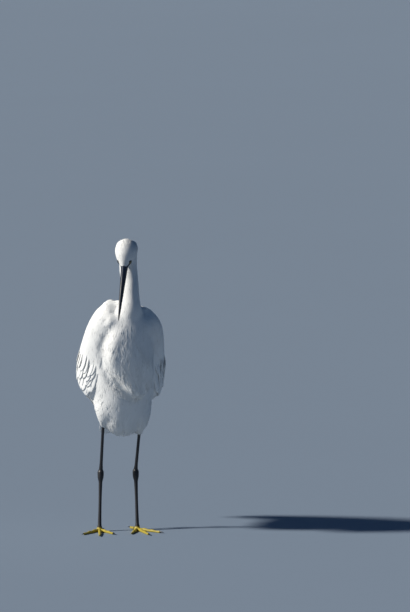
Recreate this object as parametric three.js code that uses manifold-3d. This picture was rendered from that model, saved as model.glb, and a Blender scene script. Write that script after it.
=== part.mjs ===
// A little egret, life size, standing on both feet with its neck drawn up and its bill pointing down.
// Millimetres, +Z up. The bird faces -Y, its own left is +X, and z = 0 is the ground under its toes.
import * as THREE from "three";
import { mergeVertices } from "three/addons/utils/BufferGeometryUtils.js";
import Module from "manifold-3d";

const wasm = await Module();
wasm.setup();

const GAP = 0.35;
const degrees = THREE.MathUtils.degToRad;
const vec = (x, y, z) => new THREE.Vector3(x, y, z);

// Body: a straight axis that slopes down from the shoulders to the tail
const BODY_PITCH = degrees(48);
const BODY_START = vec(0, -62, 372);
const BODY_ALONG = vec(0, Math.cos(BODY_PITCH), -Math.sin(BODY_PITCH));
const BODY_DORSAL = vec(0, Math.sin(BODY_PITCH), Math.cos(BODY_PITCH));

// Head: the bill points down and a little to the bird's right
const BILL_PITCH = degrees(65);
const BILL_YAW = degrees(23);
const BILL_ROOT = vec(-9.6, -86, 460.2);
const BILL_LENGTH = 91;
const EYE_RADIUS = 4.8;
const EYE_BACK = 13;
const EYE_UP = 2.5;
const EYE_OUT = 9.5;

// Legs, given as [bird's right, bird's left]
const SIDES = [
  { name: "right", sign: -1 },
  { name: "left", sign: 1 },
];
const FEATHER_END = [vec(-33, -1, 181), vec(29.5, -1, 168)];
const HEEL_JOINT = [vec(-34, 20, 100), vec(26, 20, 100)];
const FOOT_TOP = [vec(-38, 7, 9), vec(27, 7, 9)];
const FOOT_SPLAY = [degrees(-10), degrees(12)];

// A smooth curve through [station, value] knots that never overshoots them
function through(...knots) {
  const slope = knots.slice(1).map(([s, v], i) => (v - knots[i][1]) / (s - knots[i][0]));
  const lean = knots.map((_, i) => {
    if (i === 0) return slope[0];
    if (i === slope.length) return slope[i - 1];
    const [a, b] = [slope[i - 1], slope[i]];
    return a * b <= 0 ? 0 : (2 * a * b) / (a + b);
  });
  return (s) => {
    let i = knots.findIndex(([at]) => s <= at) - 1;
    if (i < 0) i = s <= knots[0][0] ? 0 : slope.length - 1;
    const [s0, v0] = knots[i];
    const [s1, v1] = knots[i + 1];
    const w = s1 - s0;
    const t = THREE.MathUtils.clamp((s - s0) / w, 0, 1);
    const h = 1 - t;
    return v0 * h * h * (1 + 2 * t) + v1 * t * t * (3 - 2 * t) + w * t * h * (lean[i] * h - lean[i + 1] * t);
  };
}

// A closed skin over rings of points: ringAt(u) gives one ring, for u from 0 to 1
function loft(stations, ringAt) {
  const rings = stations.map(ringAt);
  const sides = rings[0].length;
  const points = rings.flat();
  const faces = [];
  for (let i = 0; i + 1 < rings.length; i++)
    for (let k = 0; k < sides; k++) {
      const [a, b] = [i * sides + k, i * sides + ((k + 1) % sides)];
      faces.push(a, b, a + sides, b, b + sides, a + sides);
    }
  for (const [ring, flip] of [
    [0, false],
    [rings.length - 1, true],
  ]) {
    const middle = rings[ring].reduce((sum, p) => sum.add(p), vec(0, 0, 0)).divideScalar(sides);
    points.push(middle);
    for (let k = 0; k < sides; k++) {
      const [a, b] = [ring * sides + k, ring * sides + ((k + 1) % sides)];
      faces.push(...(flip ? [a, b, points.length - 1] : [b, a, points.length - 1]));
    }
  }
  return solidOf(points, faces);
}

// A manifold solid from points and triangles, turned to face outwards
function solidOf(points, faces) {
  const make = (triangles) =>
    new wasm.Manifold(
      new wasm.Mesh({
        numProp: 3,
        vertProperties: new Float32Array(points.flatMap((p) => p.toArray())),
        triVerts: new Uint32Array(triangles),
      }),
    );
  const made = make(faces);
  if (made.volume() > 0) return made;
  const turned = [];
  for (let i = 0; i < faces.length; i += 3) turned.push(faces[i], faces[i + 2], faces[i + 1]);
  return make(turned);
}

// A manifold solid from a closed three.js geometry
function fromGeometry(geometry) {
  const bare = geometry.clone();
  bare.deleteAttribute("normal");
  bare.deleteAttribute("uv");
  const merged = mergeVertices(bare, 1e-4);
  const p = merged.attributes.position;
  const points = Array.from({ length: p.count }, (_, i) => vec(p.getX(i), p.getY(i), p.getZ(i)));
  return solidOf(points, Array.from(merged.index.array));
}

const join = (...solids) => wasm.Manifold.union(solids.flat());
const steps = (count, from = 0, to = 1) =>
  Array.from({ length: count + 1 }, (_, i) => from + ((to - from) * i) / count);

// Only the largest closed surface is kept: it fills sealed hollows and drops loose scraps
function largest(solid) {
  return solid.decompose().reduce((best, one) => (one.volume() > best.volume() ? one : best));
}

// A ring of points round a centre, in the plane of two directions
function ring(sides, centre, across, up, half, above, below = above, power = 1) {
  return Array.from({ length: sides }, (_, k) => {
    const a = (2 * Math.PI * k) / sides;
    const [sin, cos] = [Math.sin(a), Math.cos(a)];
    const u = half * Math.sign(sin) * Math.abs(sin) ** power;
    const v = (cos > 0 ? above : below) * Math.sign(cos) * Math.abs(cos) ** power;
    return centre.clone().addScaledVector(across, u).addScaledVector(up, v);
  });
}

// A limb: rings set square to a smooth curve, with radii [across, front to back] from a function
function limb(points, radiusAt, count, sides, lateral = vec(1, 0, 0), grow = 0) {
  const curve = new THREE.CatmullRomCurve3(points, false, "centripetal");
  return loft(steps(count), (t) => {
    const along = curve.getTangent(t);
    const depth = along.clone().cross(lateral).normalize();
    const across = depth.clone().cross(along).normalize();
    const [a, b] = radiusAt(t);
    return ring(sides, curve.getPoint(t), across, depth, a + grow, b + grow);
  });
}

// Body surfaces: a place is a distance s along the axis and an angle phi from the middle of the back
const body = {
  from: -24,
  to: 240,
  centre: through([-24, -24], [40, -22], [160, -26], [240, 0]),
  half: through([-24, 24], [-12, 42], [8, 52], [55, 58], [105, 61], [160, 53], [205, 33], [240, 8]),
  top: through([-24, 12], [-10, 34], [12, 46], [60, 48], [120, 43], [185, 33], [240, 12]),
  bottom: through([-24, -32], [-8, -44], [24, -58], [75, -79], [130, -105], [170, -112], [207, -80], [240, -10]),
};
const wing = {
  centre: through([-22, -18], [60, -14], [160, -10], [220, 0], [292, 3]),
  half: through([-22, 36], [-8, 55], [20, 67], [60, 75], [105, 79], [140, 76], [170, 63], [200, 49], [245, 28], [292, 12]),
  top: through([-22, 12], [-8, 36], [15, 50], [60, 57], [120, 55], [170, 47], [220, 36], [292, 14]),
  bottom: through([-22, -42], [-5, -66], [40, -86], [120, -92], [170, -70], [205, -40], [245, -14], [292, -6]),
};

// The bird's right wing is carried a little higher at the shoulder than its left
const WING_RISE = { "-1": vec(-1.5, -2, 9), 1: vec(0, 0, 0) };
const WING_LENGTH = 292;
const wingUpper = through([-20, 56], [10, 26], [50, 10], [150, 5], [292, 6]);
const wingLower = through([-20, 116], [10, 130], [60, 130], [130, 122], [190, 105], [245, 84], [292, 66]);

// In front the wing sinks towards its lower edge into the side of the breast
const wingTuck = through([-20, 15], [60, 17], [100, 11], [140, 0]);
function onWing(sign, s, phi, lift = 0) {
  const share = (THREE.MathUtils.radToDeg(phi) - wingUpper(s)) / (wingLower(s) - wingUpper(s));
  const sink = wingTuck(s) * THREE.MathUtils.smoothstep(share, 0.45, 1.05);
  return onBody(wing, s, sign * phi, lift - sink).addScaledVector(WING_RISE[sign], 1 - s / WING_LENGTH);
}

function onBody(shape, s, phi, lift = 0) {
  const at = (ss, pp) => {
    const c = shape.centre(ss);
    const cos = Math.cos(pp);
    const v = c + cos * (cos > 0 ? shape.top(ss) - c : c - shape.bottom(ss));
    return BODY_START.clone()
      .addScaledVector(BODY_ALONG, ss)
      .addScaledVector(BODY_DORSAL, v)
      .add(vec(shape.half(ss) * Math.sin(pp), 0, 0));
  };
  const point = at(s, phi);
  if (lift) {
    const round = at(s, phi + 0.02).sub(at(s, phi - 0.02));
    const along = at(s + 1.5, phi).sub(at(s - 1.5, phi));
    point.addScaledVector(round.cross(along).normalize(), lift);
  }
  return point;
}

const BODY_SIDES = 22;
function bodyLoft(grow = 0) {
  return loft(steps(14, body.from - grow, body.to + grow), (s) =>
    Array.from({ length: BODY_SIDES }, (_, k) => {
      const phi = (2 * Math.PI * k) / BODY_SIDES;
      const inner = THREE.MathUtils.clamp(s, body.from, body.to);
      return onBody(body, inner, phi)
        .addScaledVector(BODY_ALONG, s - inner)
        .add(growOf(phi, grow));
    }),
  );
}
const growOf = (phi, grow) =>
  vec(Math.sin(phi) * grow, 0, 0).addScaledVector(BODY_DORSAL, Math.cos(phi) * grow);

// Breast: a shield of loose plumage that hangs from the neck in front of the belly
const bib = {
  high: 388,
  low: 248,
  depth: through([248, 26], [330, 32], [370, 28], [388, 18]),
  half: through([248, 12], [270, 28], [300, 43], [330, 46], [356, 40], [376, 30], [388, 20]),
  front: through([248, -88], [280, -103], [320, -111], [350, -110], [388, -101]),
};
const BIB_SQUARE = 0.7;
function onBib(z, turn, lift = 0) {
  const half = bib.half(z) + lift;
  const depth = bib.depth(z) + lift;
  const cos = Math.cos(turn);
  const ahead = Math.sign(cos) * Math.abs(cos) ** BIB_SQUARE;
  return vec(half * Math.sin(turn), bib.front(z) + bib.depth(z) - depth * ahead, z);
}
function bibLoft(grow = 0) {
  const sides = 16;
  return loft(steps(9, bib.low - grow, bib.high + grow), (z) =>
    Array.from({ length: sides }, (_, k) => onBib(z, (2 * Math.PI * k) / sides, grow)),
  );
}

const torsoGrown = join(bodyLoft(GAP), bibLoft(GAP));

function torso() {
  return join(bodyLoft(), bibLoft(), breastPlumes());
}

// Neck: a shallow S from the breast up to the back of the head, cut into three lengths
const NECK = [
  vec(0, -50, 338),
  vec(0.5, -68, 366),
  vec(1.5, -79, 392),
  vec(2.5, -74, 416),
  vec(3, -62, 440),
  vec(2.5, -54, 461),
  vec(3.2, -51.5, 478),
  vec(3.8, -56.5, 490.5),
  vec(0, -68, 494),
];
const neckCurve = new THREE.CatmullRomCurve3(NECK, false, "centripetal");
const neckRadius = through(
  [0, 34],
  [0.18, 32],
  [0.27, 28],
  [0.34, 23.5],
  [0.41, 20],
  [0.5, 18.4],
  [0.65, 17.8],
  [0.85, 17.6],
  [1, 16.8],
);
function neckLength(from, to, grow = 0) {
  const lateral = vec(1, 0, 0);
  return loft(steps(Math.ceil((to - from) * 16), from, to), (t) => {
    const along = neckCurve.getTangent(t);
    const depth = along.clone().cross(lateral).normalize();
    const across = depth.clone().cross(along).normalize();
    const r = neckRadius(t) + grow;
    return ring(18, neckCurve.getPoint(t), across, depth, r, r * 1.06);
  });
}
const NECK_CUTS = [0.42, 0.7];
const CUT = GAP / neckCurve.getLength();

// Head frame: ahead along the bill, up through the crown, and out to the bird's left
const AHEAD = vec(
  -Math.sin(BILL_YAW) * Math.cos(BILL_PITCH),
  -Math.cos(BILL_YAW) * Math.cos(BILL_PITCH),
  -Math.sin(BILL_PITCH),
);
const CROWN = vec(0, 0, 1).addScaledVector(AHEAD, -AHEAD.z).normalize();
const OUT = CROWN.clone().cross(AHEAD);
const inHead = (ahead, out, up) =>
  BILL_ROOT.clone().addScaledVector(AHEAD, ahead).addScaledVector(OUT, out).addScaledVector(CROWN, up);

const skull = {
  front: 3,
  back: 53,
  half: through([-3, 5], [4, 8], [13, 13.4], [22, 17.5], [32, 19.8], [42, 18], [49, 12], [53, 5]),
  top: through([-3, 4.5], [4, 8.5], [13, 13.5], [24, 18], [34, 19], [45, 15], [53, 5]),
  bottom: through([-3, -7], [6, -10], [18, -13.5], [32, -16], [44, -14], [53, -5]),
};
function headLoft(grow = 0) {
  return loft(steps(12, -skull.front - grow, skull.back + grow), (back) => {
    const at = THREE.MathUtils.clamp(back, -skull.front, skull.back);
    const half = skull.half(at) + grow;
    return ring(18, inHead(-back, 0, 0), OUT, CROWN, half, skull.top(at) + grow, -skull.bottom(at) + grow);
  });
}

// Bill: two horny halves with the line of the mouth between them
const billHalf = through([-8, 6.4], [0, 5.6], [27, 4.3], [59, 2.8], [84, 1.2], [91, 0.5]);
const billTop = through([-8, 7.2], [0, 6.4], [22, 4.6], [54, 3], [82, 1.2], [91, -0.6]);
const billLow = through([-8, -8.4], [0, -8], [22, -6.4], [54, -4.2], [80, -2.6], [89, -1.6]);
const MOUTH = -1.4;
function billPart(top, bottom, to, grow = 0) {
  return loft(steps(9, -8, to + grow), (ahead) => {
    const middle = (top(ahead) + bottom(ahead)) / 2;
    const rise = (top(ahead) - bottom(ahead)) / 2 + grow;
    return ring(10, inHead(ahead, 0, middle), OUT, CROWN, billHalf(ahead) + grow, rise, rise, 0.8);
  });
}
const mouthTop = () => MOUTH + GAP / 2;
const mouthLow = () => MOUTH - GAP / 2;
const billUpperRaw = (grow = 0) => billPart(billTop, mouthTop, BILL_LENGTH, grow);
const billLowerRaw = (grow = 0) => billPart(mouthLow, billLow, BILL_LENGTH - 2, grow);

// A nostril is a narrow slot sunk into the side of the upper half
function nostril(sign) {
  const slot = new THREE.SphereGeometry(1, 8, 6).scale(5, 0.6, 0.9);
  slot.applyMatrix4(new THREE.Matrix4().makeBasis(AHEAD, OUT, CROWN));
  const at = inHead(9, sign * (billHalf(9) - 0.1), 1.6);
  return fromGeometry(slot.translate(at.x, at.y, at.z));
}

function ball(centre, radius, across = 12, down = 8) {
  const g = new THREE.SphereGeometry(radius, across, down);
  return fromGeometry(g.translate(centre.x, centre.y, centre.z));
}
const eyeCentre = (sign) => inHead(-EYE_BACK, sign * EYE_OUT, EYE_UP);

function lidRing(sign) {
  const g = new THREE.TorusGeometry(EYE_RADIUS * 0.93, 0.95, 5, 12);
  const lookOut = OUT.clone().multiplyScalar(sign).addScaledVector(AHEAD, 0.25).normalize();
  g.applyQuaternion(new THREE.Quaternion().setFromUnitVectors(vec(0, 0, 1), lookOut));
  const at = eyeCentre(sign).addScaledVector(lookOut, 2.3);
  return fromGeometry(g.translate(at.x, at.y, at.z));
}

function head() {
  const lids = SIDES.map(({ sign }) => lidRing(sign));
  const sockets = SIDES.map(({ sign }) => ball(eyeCentre(sign), EYE_RADIUS + GAP));
  const bills = [billUpperRaw(GAP), billLowerRaw(GAP)];
  return join(headLoft(), lids).subtract(join(sockets, bills));
}

// Legs
const thighRadius = through([0, 27], [0.4, 25], [0.7, 18], [0.9, 10], [1, 6]);
const HIP = [vec(-25, -14, 236), vec(25, -14, 232)];
function thighLoft(side, grow = 0) {
  const end = FEATHER_END[side];
  const path = [HIP[side], HIP[side].clone().lerp(end, 0.5).add(vec(0, -2, 0)), end.clone().add(vec(0, 0, -grow))];
  return limb(path, (t) => [thighRadius(t), thighRadius(t) * 1.25], 8, 14, vec(1, 0, 0), grow);
}

const shankRadius = through([0, 3], [0.3, 2.7], [0.8, 2.9], [1, 4]);
const tarsusRadius = through([0, 3.2], [0.06, 5.6], [0.13, 5.4], [0.24, 3.4], [0.6, 2.8], [0.93, 3.2], [1, 3.8]);
function shank(side) {
  const top = FEATHER_END[side].clone().add(vec(0, -3, 9));
  const radius = (t) => [shankRadius(t), shankRadius(t) * 1.15];
  return limb([top, top.clone().lerp(HEEL_JOINT[side], 0.5), HEEL_JOINT[side]], radius, 6, 8);
}
function tarsus(side, grow = 0) {
  const heel = HEEL_JOINT[side].clone().add(vec(0, 0, 6 + grow));
  const foot = FOOT_TOP[side].clone().add(vec(0, 0, -3));
  const radius = (t) => [tarsusRadius(t), tarsusRadius(t) * 1.1];
  const leg = limb([heel, heel.clone().lerp(foot, 0.5), foot], radius, 12, 8, vec(1, 0, 0), grow);
  return leg.subtract(below(FOOT_TOP[side].z));
}

// Toes: [turn from straight ahead, length], with the hind toe last
const TOES = [
  { name: "inner", turn: degrees(32), length: 46, claw: 8 },
  { name: "middle", turn: degrees(2), length: 60, claw: 9 },
  { name: "outer", turn: degrees(-30), length: 50, claw: 8 },
  { name: "hind", turn: degrees(176), length: 27, claw: 12 },
];
const TOE_RADIUS = 3.1;
const CLAW_RADIUS = 1.5;

function toeFrame(side, toe) {
  const turn = FOOT_SPLAY[side] + toe.turn * -SIDES[side].sign;
  const away = vec(Math.sin(turn), -Math.cos(turn), 0);
  return { away, across: vec(away.y, -away.x, 0), root: FOOT_TOP[side].clone().setZ(0) };
}

// A toe is round on top, flat below, and swells at each joint
function toeSolid(side, toe) {
  const { away, across, root } = toeFrame(side, toe);
  return loft(steps(6), (t) => {
    const swell = 1 + 0.12 * Math.cos(t * Math.PI * 6);
    const r = THREE.MathUtils.lerp(TOE_RADIUS, 1.9, t) * swell;
    const middle = root.clone().addScaledVector(away, t * toe.length).setZ(r * 0.9);
    return ring(8, middle, across, vec(0, 0, 1), r, r).map((p) => p.setZ(Math.max(p.z, 0)));
  });
}

// Everything under a level
function below(level) {
  return fromGeometry(new THREE.BoxGeometry(900, 900, 60).translate(0, 0, level - 30));
}

function foot(side) {
  const base = FOOT_TOP[side];
  const palm = fromGeometry(
    new THREE.SphereGeometry(1, 10, 6).scale(5.4, 6, 4.6).translate(base.x, base.y, 3.6),
  );
  const stem = fromGeometry(
    new THREE.CylinderGeometry(3.8, 4.6, base.z - GAP - 3, 12).rotateX(Math.PI / 2).translate(base.x, base.y, (base.z - GAP + 3) / 2),
  );
  const toes = TOES.map((toe) => toeSolid(side, toe));
  return join(palm, stem, toes).subtract(below(0));
}

function claw(side, toe) {
  const { away, across, root } = toeFrame(side, toe);
  return loft([0, 0.35, 0.7, 1], (t) => {
    const r = THREE.MathUtils.lerp(CLAW_RADIUS, 0.3, t);
    const high = 1.9 + 0.9 * Math.sin(t * Math.PI * 0.8) - 1.1 * t;
    const middle = root.clone().addScaledVector(away, toe.length + GAP + t * toe.claw).setZ(high);
    return ring(6, middle, across, vec(0, 0, 1), r * 0.8, r);
  });
}

// Seeded numbers from -1 to 1, so that no two feathers are quite alike
let seed = 20;
function wander() {
  seed = (seed * 16807) % 2147483647;
  return (2 * seed) / 2147483647 - 1;
}

// A feather is a thin closed blade that thins towards its tip: stationAt(t) says where it runs
const VANE_THICK = 1.3;
const roundTip = through([0, 0.5], [0.3, 0.92], [0.68, 1], [0.88, 0.72], [1, 0.12]);
const pointedTip = through([0, 0.7], [0.35, 1], [0.7, 0.62], [1, 0.08]);
function vane(half, shape, count, stationAt) {
  return loft(steps(count), (t) => {
    const { place, across, out } = stationAt(t);
    const wide = half * shape(t);
    const high = (VANE_THICK / 2) * (1 - 0.45 * t);
    const at = (u, v) => place.clone().addScaledVector(across, u).addScaledVector(out, v);
    return [at(-wide, -high), at(-wide, high), at(wide, high), at(wide, -high)];
  });
}

// Directions along and across a path that lies on a surface, from placeAt(t, lift)
function lieOn(placeAt, t, tilt = 0) {
  const place = placeAt(t, 0);
  const along = placeAt(t + 0.01, 0).sub(placeAt(t - 0.01, 0)).normalize();
  const out = placeAt(t, 1).sub(place).normalize();
  const across = along.clone().cross(out).normalize();
  const leant = across.clone().multiplyScalar(Math.cos(tilt)).addScaledVector(out, Math.sin(tilt));
  return { place, across: leant, out: leant.clone().cross(along).normalize() };
}

// Tail: a short fan under the wing tips
const TAIL_FROM = 205;
const TAIL_TO = 298;
const tailHalf = through([205, 13], [240, 17], [285, 24], [298, 20]);
const tailThick = through([205, 7], [250, 4], [298, 1.2]);
function tailLoft(grow = 0, to = TAIL_TO) {
  return loft(steps(7, TAIL_FROM, to + grow), (s) => {
    const middle = BODY_START.clone().addScaledVector(BODY_ALONG, s).addScaledVector(BODY_DORSAL, -1);
    const thick = tailThick(s) + grow;
    return ring(12, middle, vec(1, 0, 0), BODY_DORSAL, tailHalf(s) + grow, thick, thick, 0.7);
  });
}

// Twelve tail feathers, the middle pair on top
const TAIL_FEATHERS = 12;
function tail() {
  const feathers = Array.from({ length: TAIL_FEATHERS }, (_, i) => {
    const fan = (2 * i) / (TAIL_FEATHERS - 1) - 1;
    const end = TAIL_TO - 7 * fan * fan + 1.5 * wander();
    const placeAt = (t, lift) =>
      BODY_START.clone()
        .addScaledVector(BODY_ALONG, THREE.MathUtils.lerp(TAIL_FROM + 6, end, t))
        .addScaledVector(BODY_DORSAL, 1.2 - 3 * Math.abs(fan) - 2 * t + lift)
        .add(vec(fan * (7 + 11 * t), 0, 0));
    return vane(6.2, roundTip, 4, (t) => lieOn(placeAt, t, degrees(5) * Math.sign(fan)));
  });
  return join(tailLoft(-1, TAIL_FROM + 45), feathers);
}

// Wings: a core wrapped round the body's side
const wingThick = through([-20, 14], [20, 22], [150, 24], [200, 16], [245, 5], [292, 1.6]);
const CORE_LIFT = -1.6;
function wingCore(sign, to) {
  const across = 5;
  return loft(steps(12, -20, to), (s) => {
    const [up, low] = [degrees(wingUpper(s)), degrees(wingLower(s))];
    const outer = steps(across, up, low).map((phi, k) => {
      const edge = Math.abs((2 * k) / across - 1) ** 4;
      return onWing(sign, s, phi, CORE_LIFT - 3 * edge);
    });
    const inner = steps(across, low, up).map((phi, k) => {
      const edge = Math.abs((2 * k) / across - 1) ** 4;
      return onWing(sign, s, phi, CORE_LIFT - 3 * edge - wingThick(s) * (1 - 0.6 * edge));
    });
    return [...outer, ...inner];
  });
}

// Feather tiers of a wing. Tips run from the first [distance, angle] to the last; fan turns tip from root
const WING_FEATHERS = [
  { tier: "primaries", count: 4, tips: [[270, 58], [292, 32]], length: 106, half: 7.5, lift: -0.6, fan: 10 },
  { tier: "secondaries", count: 6, tips: [[138, 124], [260, 70]], length: 84, half: 14, lift: 0.8, fan: 14 },
  { tier: "greater coverts", count: 5, tips: [[92, 124], [200, 62]], length: 52, half: 14, lift: 2, fan: 12 },
  { tier: "median coverts", count: 5, tips: [[56, 122], [160, 46]], length: 42, half: 13, lift: 3, fan: 10 },
  { tier: "lesser coverts", count: 4, tips: [[22, 112], [112, 34]], length: 36, half: 13, lift: 3.6, fan: 8 },
  { tier: "tertials", count: 3, tips: [[228, 50], [264, 20]], length: 108, half: 13, lift: 2.6, fan: -4 },
  { tier: "scapulars", count: 3, tips: [[84, 22], [204, 14]], length: 72, half: 12, lift: 3.4, fan: 0 },
];
const ROOT_SINK = 2.2;
const FLIGHT_LENGTH = 80;

function wingFeather(sign, tier, i) {
  const [first, last] = tier.tips;
  const place = i / (tier.count - 1);
  const tip = THREE.MathUtils.lerp(first[0], last[0], place) + 3 * wander();
  const angle = THREE.MathUtils.lerp(first[1], last[1], place) + 1.2 * wander();
  const long = tier.length * (1 + 0.05 * wander());
  const flight = tier.length > FLIGHT_LENGTH;
  const placeAt = (t, lift) => {
    const s = tip - long * (1 - t);
    const phi = degrees(angle - tier.fan * Math.max(0, 1 - t) ** 1.5);
    const rise = (ROOT_SINK + tier.lift) * Math.max(0, t) ** 0.7;
    return onWing(sign, s, phi, lift + CORE_LIFT - ROOT_SINK + rise);
  };
  const tilt = degrees(7) * sign;
  return vane(tier.half, roundTip, flight ? 4 : 3, (t) => lieOn(placeAt, t, tilt));
}

const WING_CORE_TO = 250;
function wingSolid(sign) {
  const feathers = WING_FEATHERS.flatMap((tier) =>
    Array.from({ length: tier.count }, (_, i) => wingFeather(sign, tier, i)),
  );
  const otherSide = new THREE.BoxGeometry(200, 900, 900).translate(-sign * (100 - GAP), 0, 300);
  return join(wingCore(sign, WING_CORE_TO), feathers).subtract(fromGeometry(otherSide));
}

// The breast's loose, pointed plumes hang in rows, longest at the bottom
const PLUME_ROWS = [
  { count: 7, high: 352, length: 40, half: 5.5, spread: degrees(62) },
  { count: 8, high: 325, length: 46, half: 5.5, spread: degrees(72) },
  { count: 7, high: 296, length: 52, half: 5, spread: degrees(60) },
];
function breastPlumes() {
  return PLUME_ROWS.flatMap((row) =>
    Array.from({ length: row.count }, (_, i) => {
      const side = (2 * i) / (row.count - 1) - 1;
      const long = row.length * (1 + 0.12 * wander());
      const high = row.high + 4 * wander() - 10 * side * side;
      const sway = degrees(5) * wander();
      const placeAt = (t, lift) =>
        onBib(high - long * t, row.spread * side + sway * t, lift - 2 + 5.5 * t * t);
      return vane(row.half, pointedTip, 4, (t) => lieOn(placeAt, t));
    }),
  );
}

// Materials
const material = (color, roughness) => new THREE.MeshStandardMaterial({ color, roughness, metalness: 0 });
const plumage = material(0xf2f1ec, 0.85);
const horn = material(0x15171c, 0.35);
const legSkin = material(0x17181a, 0.55);
const toeSkin = material(0xc9b52e, 0.55);
const eyeball = material(0xd8cf6a, 0.1);

const bird = new THREE.Group();
function add(name, solid, paint) {
  const made = largest(solid).getMesh();
  const geometry = new THREE.BufferGeometry()
    .setAttribute("position", new THREE.BufferAttribute(Float32Array.from(made.vertProperties), 3))
    .setIndex(new THREE.BufferAttribute(Uint32Array.from(made.triVerts), 1));
  geometry.computeVertexNormals();
  const mesh = new THREE.Mesh(geometry, paint);
  mesh.name = name;
  bird.add(mesh);
}

const neckGrown = neckLength(0, NECK_CUTS[0], GAP);
const headGrown = join(headLoft(GAP), billUpperRaw(GAP), billLowerRaw(GAP));
add("torso", torso(), plumage);
add("neck_lower", neckLength(0, NECK_CUTS[0]).subtract(torsoGrown), plumage);
add("neck_middle", neckLength(NECK_CUTS[0] + CUT, NECK_CUTS[1]).subtract(headGrown), plumage);
add("neck_upper", neckLength(NECK_CUTS[1] + CUT, 1).subtract(headGrown), plumage);
add("head", head(), plumage);
add("bill_upper", billUpperRaw().subtract(join(nostril(-1), nostril(1))), horn);
add("bill_lower", billLowerRaw(), horn);
add("tail", tail().subtract(torsoGrown), plumage);
SIDES.forEach(({ name, sign }, side) => {
  const thighGrown = thighLoft(side, GAP);
  add("eye_" + name, ball(eyeCentre(sign), EYE_RADIUS), eyeball);
  add("wing_" + name, wingSolid(sign).subtract(join(torsoGrown, neckGrown, tailLoft(2.6), thighGrown)), plumage);
  add("thigh_" + name, thighLoft(side).subtract(torsoGrown), plumage);
  add("shank_" + name, shank(side).subtract(join(thighGrown, tarsus(side, GAP))), legSkin);
  add("tarsus_" + name, tarsus(side), legSkin);
  add("foot_" + name, foot(side), toeSkin);
  for (const toe of TOES) add(`claw_${name}_${toe.name}`, claw(side, toe), horn);
});

// The origin is the ground point under the middle of the whole bird
const reach = new THREE.Box3().setFromObject(bird);
const middle = reach.getCenter(vec(0, 0, 0));
bird.position.set(-middle.x, -middle.y, -reach.min.z);

export default bird;
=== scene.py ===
"""A little egret, life size: one skin under a coat of solid feathers, with bare parts of horn and scales.

Shapes are worked out in millimetres in the bird's own frame: it faces -Y, its left is +X, and +Z is up.
"""

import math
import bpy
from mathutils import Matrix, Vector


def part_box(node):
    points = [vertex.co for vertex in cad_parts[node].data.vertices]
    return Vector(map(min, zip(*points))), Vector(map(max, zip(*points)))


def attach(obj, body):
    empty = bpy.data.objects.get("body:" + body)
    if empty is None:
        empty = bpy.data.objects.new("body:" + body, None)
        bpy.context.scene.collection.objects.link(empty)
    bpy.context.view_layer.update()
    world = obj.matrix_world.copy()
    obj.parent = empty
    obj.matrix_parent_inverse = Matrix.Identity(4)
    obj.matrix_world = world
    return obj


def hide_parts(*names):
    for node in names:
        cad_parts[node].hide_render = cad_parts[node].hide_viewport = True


bl_info = {
    "name": "Little Egret",
    "version": (1, 0, 0),
    "blender": (4, 5, 0),
    "location": "View3D > Sidebar > Egret",
    "description": "Dresses the packed egret with skin, feathers, horn and scales",
    "category": "Object",
}

from copy import copy

import bpy
import numpy as np
from mathutils import Vector
from mathutils.bvhtree import BVHTree
from mathutils.kdtree import KDTree

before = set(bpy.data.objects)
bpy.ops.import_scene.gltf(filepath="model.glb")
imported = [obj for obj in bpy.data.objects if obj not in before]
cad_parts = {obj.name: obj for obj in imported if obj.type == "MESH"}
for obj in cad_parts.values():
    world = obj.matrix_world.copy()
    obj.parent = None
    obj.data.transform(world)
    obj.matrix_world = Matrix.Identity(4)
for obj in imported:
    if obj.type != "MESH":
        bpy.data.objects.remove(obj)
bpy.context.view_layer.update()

MM = 0.001
SIDES = (("right", -1), ("left", 1))


# Small maths

def through(*knots):
    """A smooth curve through (station, value) knots that never overshoots them."""
    xs, ys = np.array(knots, float).T
    slopes = np.diff(ys) / np.diff(xs)
    lean = np.empty(len(xs))
    lean[0], lean[-1] = slopes[0], slopes[-1]
    before, after = slopes[:-1], slopes[1:]
    total = np.where(before + after == 0, 1, before + after)
    lean[1:-1] = np.where(before * after <= 0, 0, 2 * before * after / total)

    def curve(at):
        at = np.clip(np.asarray(at, float), xs[0], xs[-1])
        i = np.clip(np.searchsorted(xs, at) - 1, 0, len(slopes) - 1)
        w = xs[i + 1] - xs[i]
        t = (at - xs[i]) / w
        h = 1 - t
        ends = ys[i] * h * h * (1 + 2 * t) + ys[i + 1] * t * t * (3 - 2 * t)
        return ends + w * t * h * (lean[i] * h - lean[i + 1] * t)

    return curve


def vec(x, y, z):
    return np.array([x, y, z], float)


def unit(v):
    length = np.linalg.norm(v, axis=-1, keepdims=True)
    return v / np.where(length == 0, 1, length)


def smooth_step(x, low, high):
    t = np.clip((x - low) / (high - low), 0, 1)
    return t * t * (3 - 2 * t)


def polyline(points, t):
    """A smooth place on the curve through points, for t from 0 to 1, and its direction."""
    points = np.array(points, float)
    t = np.atleast_1d(np.asarray(t, float))
    knots = np.linspace(0, 1, len(points))
    curves = [through(*zip(knots, points[:, axis])) for axis in range(3)]
    place = np.stack([curve(t) for curve in curves], -1)
    ahead = np.stack([curve(t + 0.01) - curve(t - 0.01) for curve in curves], -1)
    return place, unit(ahead)


# The body's shapes, as in the solids but for the breast's wider lower half

BODY_PITCH = math.radians(48)
BODY_START = vec(0, -62, 372)
BODY_ALONG = vec(0, math.cos(BODY_PITCH), -math.sin(BODY_PITCH))
BODY_DORSAL = vec(0, math.sin(BODY_PITCH), math.cos(BODY_PITCH))
ACROSS = vec(1, 0, 0)

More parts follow.
